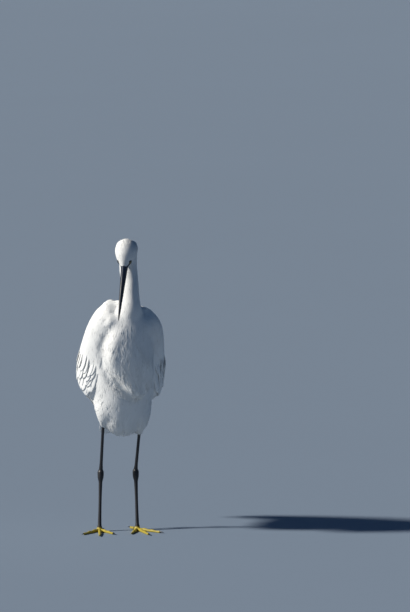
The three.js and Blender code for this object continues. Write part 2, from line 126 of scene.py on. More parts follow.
BODY = {
    "centre": through((-24, -24), (40, -22), (160, -26), (240, 0)),
    "half": through((-24, 24), (-12, 42), (8, 52), (55, 58), (105, 61), (160, 53), (205, 33), (240, 8)),
    "top": through((-24, 12), (-10, 34), (12, 46), (60, 48), (120, 43), (185, 33), (240, 12)),
    "bottom": through((-24, -32), (-8, -44), (24, -58), (75, -79), (130, -105), (170, -112), (207, -80),
                      (240, -10)),
}
WING = {
    "centre": through((-22, -18), (60, -14), (160, -10), (220, 0), (292, 3)),
    "half": through((-22, 36), (-8, 55), (20, 67), (60, 75), (105, 79), (140, 76), (170, 63), (200, 49),
                    (245, 28), (292, 12)),
    "top": through((-22, 12), (-8, 36), (15, 50), (60, 57), (120, 55), (170, 47), (220, 36), (292, 14)),
    "bottom": through((-22, -42), (-5, -66), (40, -86), (120, -92), (170, -70), (205, -40), (245, -14),
                      (292, -6)),
}
WING_RISE = {-1: vec(-1.5, -2, 9), 1: vec(0, 0, 0)}
WING_LENGTH = 292
WING_UPPER = through((-20, 56), (10, 26), (50, 10), (150, 5), (292, 6))
WING_LOWER = through((-20, 116), (10, 130), (60, 130), (130, 122), (190, 105), (245, 84), (292, 66))
WING_TUCK = through((-20, 15), (60, 17), (100, 11), (140, 0))
CORE_LIFT = -1.6

BIB_LOW, BIB_HIGH = 248, 388
BIB_DEPTH = through((248, 26), (330, 32), (370, 28), (388, 18))
BIB_HALF = through((248, 18), (270, 35), (300, 46), (330, 46), (356, 40), (376, 30), (388, 20))
BIB_EDGE = ((-20, 377), (-35, 348), (-42, 323), (-41, 296), (-31, 271), (-14, 255), (12, 239), (34, 233))
BIB_FRONT = through((248, -88), (280, -103), (320, -111), (350, -110), (388, -101))
BIB_SQUARE = 0.7
BIB_SWAY, BIB_SKEW = 6, 15

NECK = ((0, -50, 338), (0.5, -68, 366), (1.5, -79, 392), (2.5, -74, 416), (3, -62, 440), (2.5, -54, 461),
        (3.2, -51.5, 478), (3.8, -56.5, 490.5), (0, -68, 494))
NECK_RADIUS = through((0, 34), (0.12, 31.5), (0.2, 27), (0.26, 22.5), (0.32, 19.6), (0.4, 18.3), (0.75, 17.6),
                      (1, 16.8))

BILL_PITCH = math.radians(65)
BILL_YAW = math.radians(23)
BILL_ROOT = vec(-9.6, -86, 460.2)
BILL_LENGTH = 91
AHEAD = vec(-math.sin(BILL_YAW) * math.cos(BILL_PITCH), -math.cos(BILL_YAW) * math.cos(BILL_PITCH),
            -math.sin(BILL_PITCH))
CROWN = unit(vec(0, 0, 1) - AHEAD * AHEAD[2])
OUT = np.cross(CROWN, AHEAD)
EYE_BACK, EYE_UP, EYE_OUT = 13, 2.5, 9.5
SKULL_HALF = through((-3, 5), (4, 8), (13, 13.4), (22, 17.5), (32, 19.8), (42, 18), (49, 12), (53, 5))
SKULL_TOP = through((-3, 4.5), (4, 8.5), (13, 13.5), (24, 18), (34, 19), (45, 15), (53, 5))
SKULL_BOTTOM = through((-3, 7), (6, 10), (18, 13.5), (32, 16), (44, 14), (53, 5))

FEATHER_END = (vec(-33, -1, 181), vec(29.5, -1, 168))
HEEL_JOINT = (vec(-34, 20, 100), vec(26, 20, 100))
FOOT_TOP = (vec(-38, 7, 9), vec(27, 7, 9))
FOOT_SPLAY = (math.radians(-10), math.radians(12))
HIP = (vec(-25, -14, 236), vec(25, -14, 232))
THIGH_RADIUS = through((0, 27), (0.4, 25), (0.7, 18), (0.9, 10), (1, 6))
THIGH_FLAT = 1.25


def in_head(ahead, out, up):
    ahead, out, up = (np.asarray(v, float)[..., None] for v in (ahead, out, up))
    return BILL_ROOT + AHEAD * ahead + OUT * out + CROWN * up


def head_place(points):
    """How far ahead of the bill's root, out to the bird's left and up through the crown each point is."""
    away = points - BILL_ROOT
    return away @ AHEAD, away @ OUT, away @ CROWN


def eye_centre(sign):
    return in_head(-EYE_BACK, sign * EYE_OUT, EYE_UP)


eye_low, eye_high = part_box("eye_left")
ORIGIN = (np.array(eye_low) + np.array(eye_high)) / 2 / MM - eye_centre(1)


def to_scene(points):
    return (np.asarray(points, float) + ORIGIN) * MM


def in_body(along, out, up):
    along, out, up = (np.asarray(v, float)[..., None] for v in (along, out, up))
    return BODY_START + BODY_ALONG * along + BODY_DORSAL * up + ACROSS * out


def on_shape(shape, s, phi):
    centre = shape["centre"](s)
    cos = np.cos(phi)
    rise = np.where(cos > 0, shape["top"](s) - centre, centre - shape["bottom"](s))
    return in_body(s, shape["half"](s) * np.sin(phi), centre + cos * rise)


def on_body(shape, s, phi, lift=0.0):
    """A place s along the body's axis and phi round from the middle of the back, lifted off the surface."""
    s, phi, lift = np.broadcast_arrays(*(np.asarray(v, float) for v in (s, phi, lift)))
    around = on_shape(shape, s, phi + 0.02) - on_shape(shape, s, phi - 0.02)
    along = on_shape(shape, s + 1.5, phi) - on_shape(shape, s - 1.5, phi)
    return on_shape(shape, s, phi) + unit(np.cross(around, along)) * lift[..., None]


def wing_sink(s, phi):
    """In front the wing sinks towards its lower edge into the side of the breast."""
    share = (np.degrees(phi) - WING_UPPER(s)) / (WING_LOWER(s) - WING_UPPER(s))
    return WING_TUCK(s) * smooth_step(share, 0.45, 1.05)


def on_wing(sign, s, phi, lift=0.0):
    s, phi = np.asarray(s, float), np.asarray(phi, float)
    fade = (1 - s / WING_LENGTH)[..., None]
    return on_body(WING, s, sign * phi, lift - wing_sink(s, phi)) + WING_RISE[sign] * fade


# Meshes

def set_points(mesh, points):
    mesh.vertices.foreach_set("co", to_scene(points).astype(np.float32).ravel())


def new_mesh(name, points, faces, uvs=None, shades=None, normals=None):
    """A mesh from points in millimetres. uvs and shades are per point, normals per face corner."""
    mesh = bpy.data.meshes.new(name)
    faces = np.asarray(faces, np.int32)
    corners = faces.shape[1]
    mesh.vertices.add(len(points))
    set_points(mesh, points)
    mesh.loops.add(faces.size)
    mesh.loops.foreach_set("vertex_index", faces.ravel())
    mesh.polygons.add(len(faces))
    mesh.polygons.foreach_set("loop_start", np.arange(0, faces.size, corners, dtype=np.int32))
    mesh.polygons.foreach_set("use_smooth", np.full(len(faces), True))
    for label, values in (uvs or {}).items():
        layer = mesh.uv_layers.new(name=label)
        layer.uv.foreach_set("vector", np.asarray(values, np.float32)[faces.ravel()].ravel())
    for label, values in (shades or {}).items():
        layer = mesh.attributes.new(label, "FLOAT", "POINT")
        layer.data.foreach_set("value", np.asarray(values, np.float32))
    mesh.update(calc_edges=True)
    mesh.validate()
    if normals is not None:
        mesh.normals_split_custom_set(normals.reshape(-1, 3))
    return mesh


def add_piece(name, mesh, material, nodes=()):
    """A piece of the bird: it rides on the root body and stands for the solids named in nodes."""
    piece = bpy.data.objects.new(name, mesh)
    bpy.context.scene.collection.objects.link(piece)
    mesh.materials.clear()
    mesh.materials.append(material)
    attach(piece, "root")
    if nodes:
        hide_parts(*nodes)


def new_piece(name, shape, material, slot, nodes=(), **maps):
    """A piece from its points, faces and maps."""
    add_piece(name, new_mesh(name, *shape, **maps), material, nodes)


def loft(rings):
    """Points and triangles of a closed skin over rings of points, shaped (rings, sides, 3)."""
    rings = np.asarray(rings, float)
    count, sides = rings.shape[:2]
    points = np.concatenate([rings.reshape(-1, 3), rings[0].mean(0)[None], rings[-1].mean(0)[None]])
    i, k = np.meshgrid(np.arange(count - 1), np.arange(sides), indexing="ij")
    a, b = (i * sides + k).ravel(), (i * sides + (k + 1) % sides).ravel()
    k = np.arange(sides)
    last = (count - 1) * sides
    low = np.stack([(k + 1) % sides, k, np.full(sides, count * sides)], -1)
    high = np.stack([last + k, last + (k + 1) % sides, np.full(sides, count * sides + 1)], -1)
    sheet = [np.stack([a, b, a + sides], -1), np.stack([b, b + sides, a + sides], -1)]
    faces = np.concatenate(sheet + [low, high])
    if signed_volume(points, faces) < 0:
        faces = faces[:, ::-1]
    return points, faces


def signed_volume(points, faces):
    a, b, c = (points[faces[:, k]] for k in range(3))
    return float(np.einsum("ij,ij->i", a, np.cross(b, c)).sum())


def ring_points(sides, centre, across, up, half, above, below=None, power=1.0):
    below = above if below is None else below
    a = np.linspace(0, 2 * math.pi, sides, endpoint=False)
    sin, cos = np.sin(a), np.cos(a)
    u = half * np.sign(sin) * np.abs(sin) ** power
    v = np.where(cos > 0, above, below) * np.sign(cos) * np.abs(cos) ** power
    return centre + across * u[:, None] + up * v[:, None]


def join(parts):
    """Several (points, faces) as one."""
    points, faces, start = [], [], 0
    for part_points, part_faces in parts:
        points.append(part_points)
        faces.append(part_faces + start)
        start += len(part_points)
    return np.concatenate(points), np.concatenate(faces)


def limb(points, radii, count, sides):
    """A closed tube along a smooth path: radii(t) gives its half width and half depth."""
    ts = np.linspace(0, 1, count)
    places, ahead = polyline(points, ts)
    rings = []
    for t, place, along in zip(ts, places, ahead):
        depth = unit(np.cross(along, ACROSS))
        across = unit(np.cross(depth, along))
        half, deep = radii(t)
        rings.append(ring_points(sides, place, across, depth, half, deep))
    return loft(rings)


# Materials

def rgba(color):
    return (*color[:3], 1.0)


def give(tree, socket, value):
    """Links a socket to another, or sets it to a value."""
    if isinstance(value, bpy.types.NodeSocket):
        tree.links.new(value, socket)
    else:
        socket.default_value = value


def add_node(tree, kind, **inputs):
    node = tree.nodes.new("ShaderNode" + kind)
    for name, value in inputs.items():
        give(tree, node.inputs[name], value)
    return node


def mix_colors(tree, factor, first, second):
    """The mixture of two colours by a factor socket: 0 is the first."""
    mix = add_node(tree, "Mix")
    mix.data_type = "RGBA"
    for socket, value in ((0, factor), (6, first), (7, second)):
        give(tree, mix.inputs[socket], value)
    return mix.outputs[2]


def mottle_group():
    """A shared effect: two colours mixed by soft noise, and a height for a bump."""
    group = bpy.data.node_groups.new("mottle", "ShaderNodeTree")
    for name, way, kind in (("Light", "INPUT", "Color"), ("Dark", "INPUT", "Color"),
                            ("Scale", "INPUT", "Float"), ("Color", "OUTPUT", "Color"),
                            ("Height", "OUTPUT", "Float")):
        group.interface.new_socket(name=name, in_out=way, socket_type="NodeSocket" + kind)
    given = group.nodes.new("NodeGroupInput").outputs
    result = group.nodes.new("NodeGroupOutput").inputs
    place = add_node(group, "TexCoord").outputs["Object"]
    noise = add_node(group, "TexNoise", Detail=4, Vector=place, Scale=given["Scale"]).outputs["Fac"]
    give(group, result["Color"], mix_colors(group, noise, given["Dark"], given["Light"]))
    give(group, result["Height"], noise)
    return group


class Paint:
    """A material whose colour is mottled, with helpers that add one effect each."""

    def __init__(self, name, light, dark, scale, roughness, **sockets):
        self.material = bpy.data.materials.new(name)
        self.material.use_nodes = True
        self.tree = self.material.node_tree
        self.shader = self.tree.nodes["Principled BSDF"]
        for socket, value in {"Roughness": roughness, **sockets}.items():
            self.shader.inputs[socket.replace("_", " ")].default_value = value
        mottle = self.add("Group")
        mottle.node_tree = bpy.data.node_groups.get("mottle") or mottle_group()
        for socket, value in (("Light", rgba(light)), ("Dark", rgba(dark)), ("Scale", scale)):
            mottle.inputs[socket].default_value = value
        self.height = mottle.outputs["Height"]
        self.show(mottle.outputs["Color"])

    def add(self, kind, **inputs):
        return add_node(self.tree, kind, **inputs)

    def show(self, color):
        self.color = color
        self.tree.links.new(color, self.shader.inputs["Base Color"])

    def attribute(self, name):
        node = self.add("Attribute")
        node.attribute_name = name
        return node.outputs["Fac"]

    def ramp(self, value, *stops):
        """A ramp of greys over value, with (position, grey) stops."""
        node = self.add("ValToRGB", Fac=value)
        elements = node.color_ramp.elements
        while len(elements) < len(stops):
            elements.new(0.5)
        for element, (position, grey) in zip(elements, stops):
            element.position = position
            element.color = rgba((grey, grey, grey))
        return node.outputs["Color"]

    def blend(self, factor, other):
        """Mixes the colour towards another by a factor socket."""
        self.show(mix_colors(self.tree, factor, self.color, rgba(other)))

    def scales(self, scale, depth, stretch=(1, 1, 1)):
        """Small plates as a bump, from a cell pattern in the object's own space."""
        place = self.add("TexCoord").outputs["Object"]
        place = self.add("Mapping", Scale=stretch, Vector=place).outputs["Vector"]
        cells = self.add("TexVoronoi", Scale=scale, Vector=place)
        cells.feature = "DISTANCE_TO_EDGE"
        self.bump(cells.outputs["Distance"], depth)

    def barbs(self, count, depth):
        """Fine slanting lines on each side of a feather's shaft, from its own UV map."""
        place = self.add("UVMap")
        place.uv_map = "Lie"
        wave = self.add("TexWave", Scale=count, Distortion=2.0, Detail=2.0, Vector=place.outputs["UV"])
        wave.bands_direction = "Y"
        self.bump(wave.outputs["Fac"], depth)

    def bump(self, height, depth, strength=0.5):
        """A bump of so many metres, on top of those there are."""
        node = self.add("Bump", Strength=strength, Distance=depth, Height=height)
        normal = self.shader.inputs["Normal"]
        if normal.links:
            give(self.tree, node.inputs["Normal"], normal.links[0].from_socket)
        give(self.tree, normal, node.outputs["Normal"])


# Skin

# Negative, because the skin lies below the solids by about the coat's thickness
GROWTH = {"body": -4.5, "bib": -6, "neck": -3.4, "head": -1.7, "thigh": -4, "wing": -1.5}
VOXEL = 1.6
SOFTEN_ROUNDS, SEAM_ROUNDS = 12, 40


def oval(radius, flat):
    """Half width and half depth along a limb, from a radius and their ratio."""
    def radii(t):
        r = float(radius(t))
        return r, r * flat
    return radii


def body_loft():
    s = np.linspace(-24, 240, 60)
    phi = np.linspace(0, 2 * math.pi, 60, endpoint=False)
    rings = on_shape(BODY, *np.meshgrid(s, phi, indexing="ij"))
    middle = rings.mean(1, keepdims=True)
    return loft(rings + unit(rings - middle) * GROWTH["body"])


def bib_loft():
    """The breast's loose shield, which hangs lower towards the bird's left."""
    z, turn = np.meshgrid(np.linspace(BIB_LOW, BIB_HIGH, 40), np.linspace(0, 2 * math.pi, 40, endpoint=False),
                          indexing="ij")
    lift = GROWTH["bib"]
    sin, cos = np.sin(turn), np.cos(turn)
    ahead = np.sign(cos) * np.abs(cos) ** BIB_SQUARE
    x = (BIB_HALF(z) + lift) * sin + BIB_SWAY * smooth_step(-z, -330, -250)
    y = BIB_FRONT(z) + BIB_DEPTH(z) - (BIB_DEPTH(z) + lift) * ahead
    hang = BIB_SKEW * sin * smooth_step(-z, -350, -270)
    return loft(np.stack([x, y, z - hang], -1))


def seam_lofts(sign):
    """Rounded fillings where a wing's edges meet neck, breast, flank and back."""
    def along(*stops):
        return [on_wing(sign, s, math.radians(WING_LOWER(s) * share + WING_UPPER(s) * (1 - share)), lift)
                for s, share, lift in stops]

    lower = along((-12, 0.0, -12), (-18, 0.4, -14), (-16, 0.8, -13), (0, 1.0, -11), (40, 1.02, -11),
                  (90, 1.03, -11), (140, 1.03, -10), (180, 1.03, -8))
    upper = along((-12, 0.1, -10), (10, -0.02, -9), (40, -0.05, -9), (90, -0.05, -8))
    return [limb(lower, lambda t: (11 - 6 * t * t,) * 2, count=50, sides=20),
            limb(upper, lambda t: (9 - 3 * t,) * 2, count=30, sides=20)]


def collar_lofts():
    """Fills the hollows between the neck and the shoulders."""
    high = [(-38, -62, 387), (-23, -61, 391), (0, -58, 386), (20, -62, 380), (33, -66, 380)]
    low = [(-37, -82, 373), (-20, -84, 368), (0, -80, 364), (20, -84, 360), (36, -82, 364)]

    def radii(t):
        return 10 + 5.5 * math.sin(math.pi * min(1, 0.15 + t * 1.1)) ** 0.8, 13
    return [limb(high, radii, count=30, sides=24), limb(low, lambda t: (15, 12), count=30, sides=24)]


def back_loft():
    """Fills the groove between the wings."""
    middle = [on_wing(1, s, 0.0, -9) * vec(0, 1, 1) for s in (14, 36, 64, 110, 160, 210)]
    return limb(middle, lambda t: (11 - 4 * t, 9 - 3 * t), count=40, sides=20)


def neck_loft():
    return limb(NECK, oval(lambda t: NECK_RADIUS(t) + GROWTH["neck"], flat=1.06), count=50, sides=36)


def head_loft():
    rings = []
    for back in np.linspace(-3, 53, 40):
        sizes = [table(back) + GROWTH["head"] for table in (SKULL_HALF, SKULL_TOP, SKULL_BOTTOM)]
        rings.append(ring_points(36, in_head(-back, 0, 0), OUT, CROWN, *sizes))
    return loft(rings)


def thigh_path(side):
    end = FEATHER_END[side]
    return HIP[side], (HIP[side] + end) / 2 + vec(0, -2, 0), end


def thigh_loft(side):
    radius = oval(lambda t: max(THIGH_RADIUS(t) + GROWTH["thigh"], 3.4), THIGH_FLAT)
    return limb(thigh_path(side), radius, count=30, sides=32)


WING_THICK = through((-20, 14), (20, 22), (150, 24), (200, 16), (245, 5), (292, 1.6))
WING_CORE_TO = 250
WING_COLUMNS = 20


def wing_loft(sign):
    """The wing's core, a thick sheet wrapped round the body's side."""
    rings = []
    for s in np.linspace(-20, WING_CORE_TO, 44):
        phi = np.radians(np.linspace(WING_UPPER(s), WING_LOWER(s), WING_COLUMNS))
        edge = np.abs(np.linspace(-1, 1, WING_COLUMNS)) ** 4
        face = CORE_LIFT + GROWTH["wing"] - 3 * edge
        row = np.full(WING_COLUMNS, s)
        outer = on_wing(sign, row, phi, face)
        inner = on_wing(sign, row, phi, face - WING_THICK(s) * (1 - 0.6 * edge))
        rings.append(np.concatenate([outer, inner[::-1]]))
    return loft(rings)


def skin_mesh():
    """One closed skin over body, breast, neck, head, thighs and wings, remeshed so that no seam shows."""
    parts = [body_loft(), bib_loft(), neck_loft(), head_loft(), thigh_loft(0), thigh_loft(1)]
    parts += [wing_loft(sign) for _, sign in SIDES]
    parts += [seam for _, sign in SIDES for seam in seam_lofts(sign)] + [back_loft()] + collar_lofts()
    points, faces = join(parts)
    rough = bpy.data.objects.new("rough_skin", new_mesh("rough_skin", points, faces))
    bpy.context.scene.collection.objects.link(rough)
    remesh = rough.modifiers.new("one skin", "REMESH")
    remesh.mode = "VOXEL"
    remesh.voxel_size = VOXEL * MM
    soften = rough.modifiers.new("soften", "SMOOTH")
    soften.factor = 0.5
    soften.iterations = SOFTEN_ROUNDS
    made = bpy.data.meshes.new_from_object(rough.evaluated_get(bpy.context.evaluated_depsgraph_get()))
    bpy.data.objects.remove(rough)
    points, triangles, _ = mesh_arrays(made)
    station, _ = neck_place(points)
    hanging = smooth_step(-points[:, 1], 64, 82) * (1 - smooth_step(points[:, 2], 296, 330))
    share = (1 - smooth_step(station, 0.1, 0.3)) * smooth_step(points[:, 2], 185, 215) * (1 - hanging)
    set_points(made, blur(points, triangles, SEAM_ROUNDS, share[:, None]))
    made.update()
    points, _, normals = mesh_arrays(made)
    set_points(made, points + normals * breast_relief(points)[:, None])
    made.update()
    return made


# Along the breast's edge: how far in each crest lies, its width, its height, and how much more it has below
SWELL = (11, 8, 2.4, 1.8)
FOLD = (-4, 5.5, 3.0, 2.6)


def breast_relief(points):
    """How far the breast swells inside its edge, and the fold outside it sinks."""
    def crest(at, wide, high, more):
        return (high + more * low) * np.exp(-((within - at) / wide) ** 2)

    stops = np.linspace(0, 1, 60)
    places, ahead = polyline([vec(x, 0, z) for x, z in BIB_EDGE], stops)
    away = points[:, None] * vec(1, 0, 1) - places[None]
    nearest = np.einsum("nkd,nkd->nk", away, away).argmin(1)
    away = away[np.arange(len(points)), nearest]
    inward = np.stack([-ahead[nearest, 2], 0 * nearest, ahead[nearest, 0]], -1)
    within = np.einsum("nd,nd->n", away, inward)
    beyond = np.linalg.norm(away - inward * within[:, None], axis=1)
    place = stops[nearest]
    low = smooth_step(place, 0.35, 0.6)
    relief = crest(*SWELL) - crest(*FOLD)
    fade = smooth_step(place, 0, 0.2) * (1 - smooth_step(place, 0.85, 1)) * np.exp(-(beyond / 8) ** 2)
    return relief * fade * smooth_step(-points[:, 1], 40, 62)


def blur(field, triangles, rounds, share=1.0):
    """A field of numbers or vectors over a mesh's points, evened out between neighbours."""
    pairs = np.concatenate([triangles[:, (0, 1)], triangles[:, (1, 2)], triangles[:, (2, 0)]])
    start, end = pairs.T
    count = np.bincount(start, minlength=len(field)).clip(1, None)
    field = field.reshape(len(field), -1)
    for _ in range(rounds):
        mean = np.stack([np.bincount(start, column[end], len(field)) / count for column in field.T], -1)
        field = field + (mean - field) * share
    return field.squeeze()


def mesh_arrays(mesh):
    """Points in millimetres in the bird's frame, triangles, and the normal of each point."""
    mesh.calc_loop_triangles()
    points = np.empty(len(mesh.vertices) * 3, np.float32)
    mesh.vertices.foreach_get("co", points)
    normals = np.empty(len(mesh.vertices) * 3, np.float32)
    mesh.vertices.foreach_get("normal", normals)
    triangles = np.empty(len(mesh.loop_triangles) * 3, np.int32)
    mesh.loop_triangles.foreach_get("vertices", triangles)
    points = points.reshape(-1, 3) / MM - ORIGIN
    return points, triangles.reshape(-1, 3), normals.reshape(-1, 3).astype(float)


# Bare skin of the face, from the bill's root to the eye and round it

RIM_INNER, RIM_OUTER = 3.4, 4.2


def bareness(points):
    """How bare the skin is at each point: 1 on the lores and the rim of the eye."""
    ahead, out, up = head_place(points)
    out = np.abs(out)
    lore = smooth_step(ahead, -13.5, -9.5) * smooth_step(out, 2.2, 4.2)
    band = 1 - smooth_step(np.abs(up + 0.2 - 0.16 * (ahead + 12)), 2.4, 3.6)
    rim = 1 - smooth_step(np.hypot((ahead + EYE_BACK - 1.5) * 1.15, up - EYE_UP), RIM_INNER, RIM_OUTER)
    near = 1 - smooth_step(ahead, 4, 8)
    return np.maximum(lore * band, rim * smooth_step(out, 6, 8)) * near


# Where the coat grows, and how

NECK_SAMPLES = np.linspace(0, 1, 60)


def neck_place(points):
    """The nearest station on the neck's curve, and the way down the neck there."""
    places, ahead = polyline(NECK, NECK_SAMPLES)
    away = np.linalg.norm(points[:, None] - places[None], axis=-1)
    nearest = away.argmin(1)
    return NECK_SAMPLES[nearest], -ahead[nearest]


def body_place(points):
    """Distance along the body's axis and angle round it from the middle of the back."""
    away = points - BODY_START
    s = away @ BODY_ALONG
    up = away @ BODY_DORSAL - BODY["centre"](s)
    return s, np.arctan2(away[:, 0], up)


def wing_height(points, sign):
    """How far out each point is against the wing's outer face, as a share: 1 lies on it."""
    s = (points - BODY_START) @ BODY_ALONG
    shifted = points - WING_RISE[sign] * (1 - s / WING_LENGTH)[:, None]
    away = shifted - BODY_START
    s = away @ BODY_ALONG
    centre = WING["centre"](s)
    up = away @ BODY_DORSAL - centre
    rise = np.where(up > 0, WING["top"](s) - centre, centre - WING["bottom"](s))
    out = away[:, 0] * sign
    phi = np.arctan2(np.maximum(out, 0) / WING["half"](s), up / rise)
    share = np.hypot(out / WING["half"](s), up / rise)
    return share + wing_sink(s, phi) / WING["half"](s), s, np.degrees(phi)


# Feathers' lengths and widths, plain and by how much more or less each place has
HEAD_LONG, FACE_SHORTER, NAPE_LONGER = 7.0, 3.8, 6
HEAD_WIDE, FACE_NARROWER = 1.05, 0.35
NECK_LONG = through((0.05, 24), (0.3, 15), (0.5, 11), (1, 9))
NECK_WIDE = through((0.05, 2.2), (0.3, 1.7), (0.5, 1.3), (1, 1.15))
BODY_LONG, BREAST_LONGER, BACK_LONGER, THIGH_SHORTER = 21, 5, 6, 5
BODY_WIDE, THIGH_NARROWER, BACK_WIDER = 2.2, 0.3, 2.0
SHOULDER_LONG, SHOULDER_LONGER = 9.0, 9.0
SHOULDER_WIDE, SHOULDER_WIDER = 1.9, 2.5

REGIONS = ("head", "neck", "breast", "body", "thighs", "shoulder")
HEAD_COAT, NECK_COAT, BREAST_COAT, BODY_COAT, THIGH_COAT, SHOULDER_COAT = range(len(REGIONS))
COVERTS_FROM = 118
NECK_BASE = vec(0, -70, 380)
EVEN_ROUNDS = {"lie": 40, "length": 12, "width": 12, "loose": 12, "lift": 6, "free": 6}


def along_skin(lie, normals):
    return unit(lie - normals * np.einsum("ij,ij->i", lie, normals)[:, None])


def inside(weights, corner_values):
    """Values at places in triangles, from those at the corners."""
    return np.einsum("nk,nk...->n...", weights, corner_values)


class Growth:
    """What grows at each of many points of the skin: region, lie, length, width and how thickly it stands."""

    def __init__(self, points, normals):
        ahead, out, up = head_place(points)
        station, down_neck = neck_place(points)
        s, phi = body_place(points)
        z = points[:, 2]
        head = smooth_step(ahead, -60, -34) * (1 - smooth_step(ahead, 2, 8))
        head = head * (1 - smooth_step(np.hypot(out, up), 21, 27))
        head = head * (1 - smooth_step(-up, 13, 18)) * (z > 430)
        neck = (1 - head) * smooth_step(station, 0.05, 0.3)
        body = 1 - head - neck
        thigh = self.thighs(points)
        trunk = BODY_ALONG + vec(0, 0, -0.45) * smooth_step(-points[:, 1], 20, 90)[:, None]
        spread = points - NECK_BASE
        near = np.exp(-(np.linalg.norm(spread, axis=1) / 60) ** 2)
        trunk = trunk + unit(spread) * 1.3 * near[:, None]
        lie = -AHEAD * head[:, None] + down_neck * neck[:, None]
        lie = lie + (trunk * (1 - thigh[:, None]) + vec(0, 0.1, -1) * thigh[:, None]) * body[:, None]
        self.lie = along_skin(lie, normals)
        self.across = np.cross(normals, self.lie)
        face = smooth_step(ahead, -24, -6) * head
        nape = head * smooth_step(-ahead, 22, 42)
        breast = smooth_step(-points[:, 1], 66, 84) * smooth_step(z, 236, 262) * body
        back = (1 - smooth_step(np.abs(phi), 0.5, 1.1)) * body * smooth_step(points[:, 1], -60, -30)
        self.region = np.select([head > 0.5, station > 0.27, breast > 0.5, thigh > 0.5],
                                [HEAD_COAT, NECK_COAT, BREAST_COAT, THIGH_COAT], BODY_COAT)
        fine = head * (HEAD_LONG - FACE_SHORTER * face + NAPE_LONGER * nape) + neck * NECK_LONG(station)
        coarse = BODY_LONG + BREAST_LONGER * breast + BACK_LONGER * back - THIGH_SHORTER * thigh
        self.length = fine + body * coarse
        fine = head * (HEAD_WIDE - FACE_NARROWER * face) + neck * NECK_WIDE(station)
        self.width = fine + body * (BODY_WIDE - THIGH_NARROWER * thigh + BACK_WIDER * back)
        self.loose = 0.2 + 0.35 * body + 0.45 * breast + 0.3 * thigh + 0.9 * nape
        under = smooth_step(-normals[:, 2], 0.05, 0.6)
        self.free = 3.0 * breast * under + 3.0 * body * under * smooth_step(-z, -215, -175) + 1.9 * nape
        at_bill = smooth_step(ahead, -3.5, -1.5) * (np.hypot(out, up) < 9)
        bare = smooth_step(bareness(points), 0.25, 0.5) + at_bill
        covered = self.wings(points)
        thick = (9.0 + 3.0 * (head + neck)) / (self.length * self.width)
        self.density = thick * np.clip(1 - bare, 0, 1) * (1 - covered)
        self.station, self.s, self.phi, self.ahead, self.out, self.up = station, s, phi, ahead, out, up

    def wings(self, points):
        """Grows the shoulders' feathers, and returns where the vanes cover the skin instead."""
        count = len(points)
        covered, reach, shoulder = np.zeros(count), np.zeros(count), np.zeros(count, bool)
        self.lift = np.zeros(count)
        for _, sign in SIDES:
            share, along, angle = wing_height(points, sign)
            this_side = points[:, 0] * sign > 0
            reach = np.where(this_side, along, reach)
            within = (angle > WING_UPPER(along) + 3) & (angle < WING_LOWER(along) + 1)
            on_top = within & (share > 0.93) & this_side
            edge = smooth_step(angle, WING_LOWER(along) - 16, WING_LOWER(along) - 10) * (along < 170)
            start = COVERTS_FROM + 46 * (1 - smooth_step(angle, 18, 42))
            covered = np.maximum(covered, on_top & (along > start) & (edge < 1))
            for rise in (0.8 * smooth_step(along, start - 60, start - 4),
                         smooth_step(along, start - 20, start) * edge * 2.2):
                self.lift = np.maximum(self.lift, on_top * rise)
            shoulder |= on_top & (along <= start) & (points[:, 1] > -86)
        shoulder &= self.region == BODY_COAT
        self.region = np.where(shoulder, SHOULDER_COAT, self.region)
        grown = smooth_step(reach, 5, 85)
        self.length = np.where(shoulder, SHOULDER_LONG + SHOULDER_LONGER * grown, self.length)
        self.width = np.where(shoulder, SHOULDER_WIDE + SHOULDER_WIDER * grown, self.width)
        self.loose = np.where(shoulder, 0.25, self.loose)
        return covered

    def even_out(self, triangles, normals):
        """Neighbouring points share what grows there, so that the coat flows with no parting."""
        for name, rounds in EVEN_ROUNDS.items():
            setattr(self, name, blur(getattr(self, name), triangles, rounds))
        self.lie = along_skin(self.lie, normals)
        self.across = np.cross(normals, self.lie)

    def at(self, corners, weights):
        """The same for places inside triangles, given by corners and weights."""
        one = copy(self)
        for name, field in vars(self).items():
            setattr(one, name, inside(weights, field[corners]))
        one.region, one.phi = self.region[corners[:, 0]], self.phi[corners[:, 0]]
        return one

    @staticmethod
    def thighs(points):
        """How near each point is to a thigh, as a share."""
        near = np.zeros(len(points))
        stops = np.linspace(0.15, 1, 14)
        for side in (0, 1):
            places, _ = polyline(thigh_path(side), stops)
            away = np.linalg.norm(points[:, None] - places[None], axis=-1)
            reach = THIGH_RADIUS(stops) * THIGH_FLAT
            near = np.maximum(near, 1 - smooth_step((away - reach).min(1), 0, 10))
        return near * (1 - smooth_step(points[:, 2], 215, 240))

    def unwrap(self):
        """Each point's place on an unwrap of the skin, one patch of the square for each region."""
        turn = np.arctan2(self.out, self.up) / (2 * math.pi) + 0.5
        round_body = self.phi / (2 * math.pi) + 0.5
        u = np.where(self.region < 2, turn * 0.3, 0.35 + 0.6 * round_body)
        head = 0.02 + 0.3 * np.clip((self.ahead + 60) / 64, 0, 1)
        neck = 0.35 + 0.3 * self.station
        body = 0.02 + 0.9 * np.clip((self.s + 40) / 300, 0, 1)
        v = np.choose(self.region, [head, neck, body, body, body, body])
        return np.stack([u, v], -1)


# Strands of the coat

PATCH = 0.003  # a feather's size in the bake map
LEAF_STATIONS = np.array([0.0, 0.32, 0.68, 1.0])
SLENDER = (0.7, 1.0, 0.66, 0.0)  # widths at the stations, as shares
ROUNDED = (0.75, 1.0, 0.85, 0.35)
TUFT_WIDE = 3.2  # a shared feather's width in strands
TUCK = 1.2  # how deep a root sits in the skin
LEAN = 0.22  # how far the shading leans out at the sides
SIDE_DEPTH = 0.22  # how far the sides reach below the middle at the root
TURN_STRAY, BEND_STRAY, LOOSE_SHARE = 0.05, 0.06, 0.03


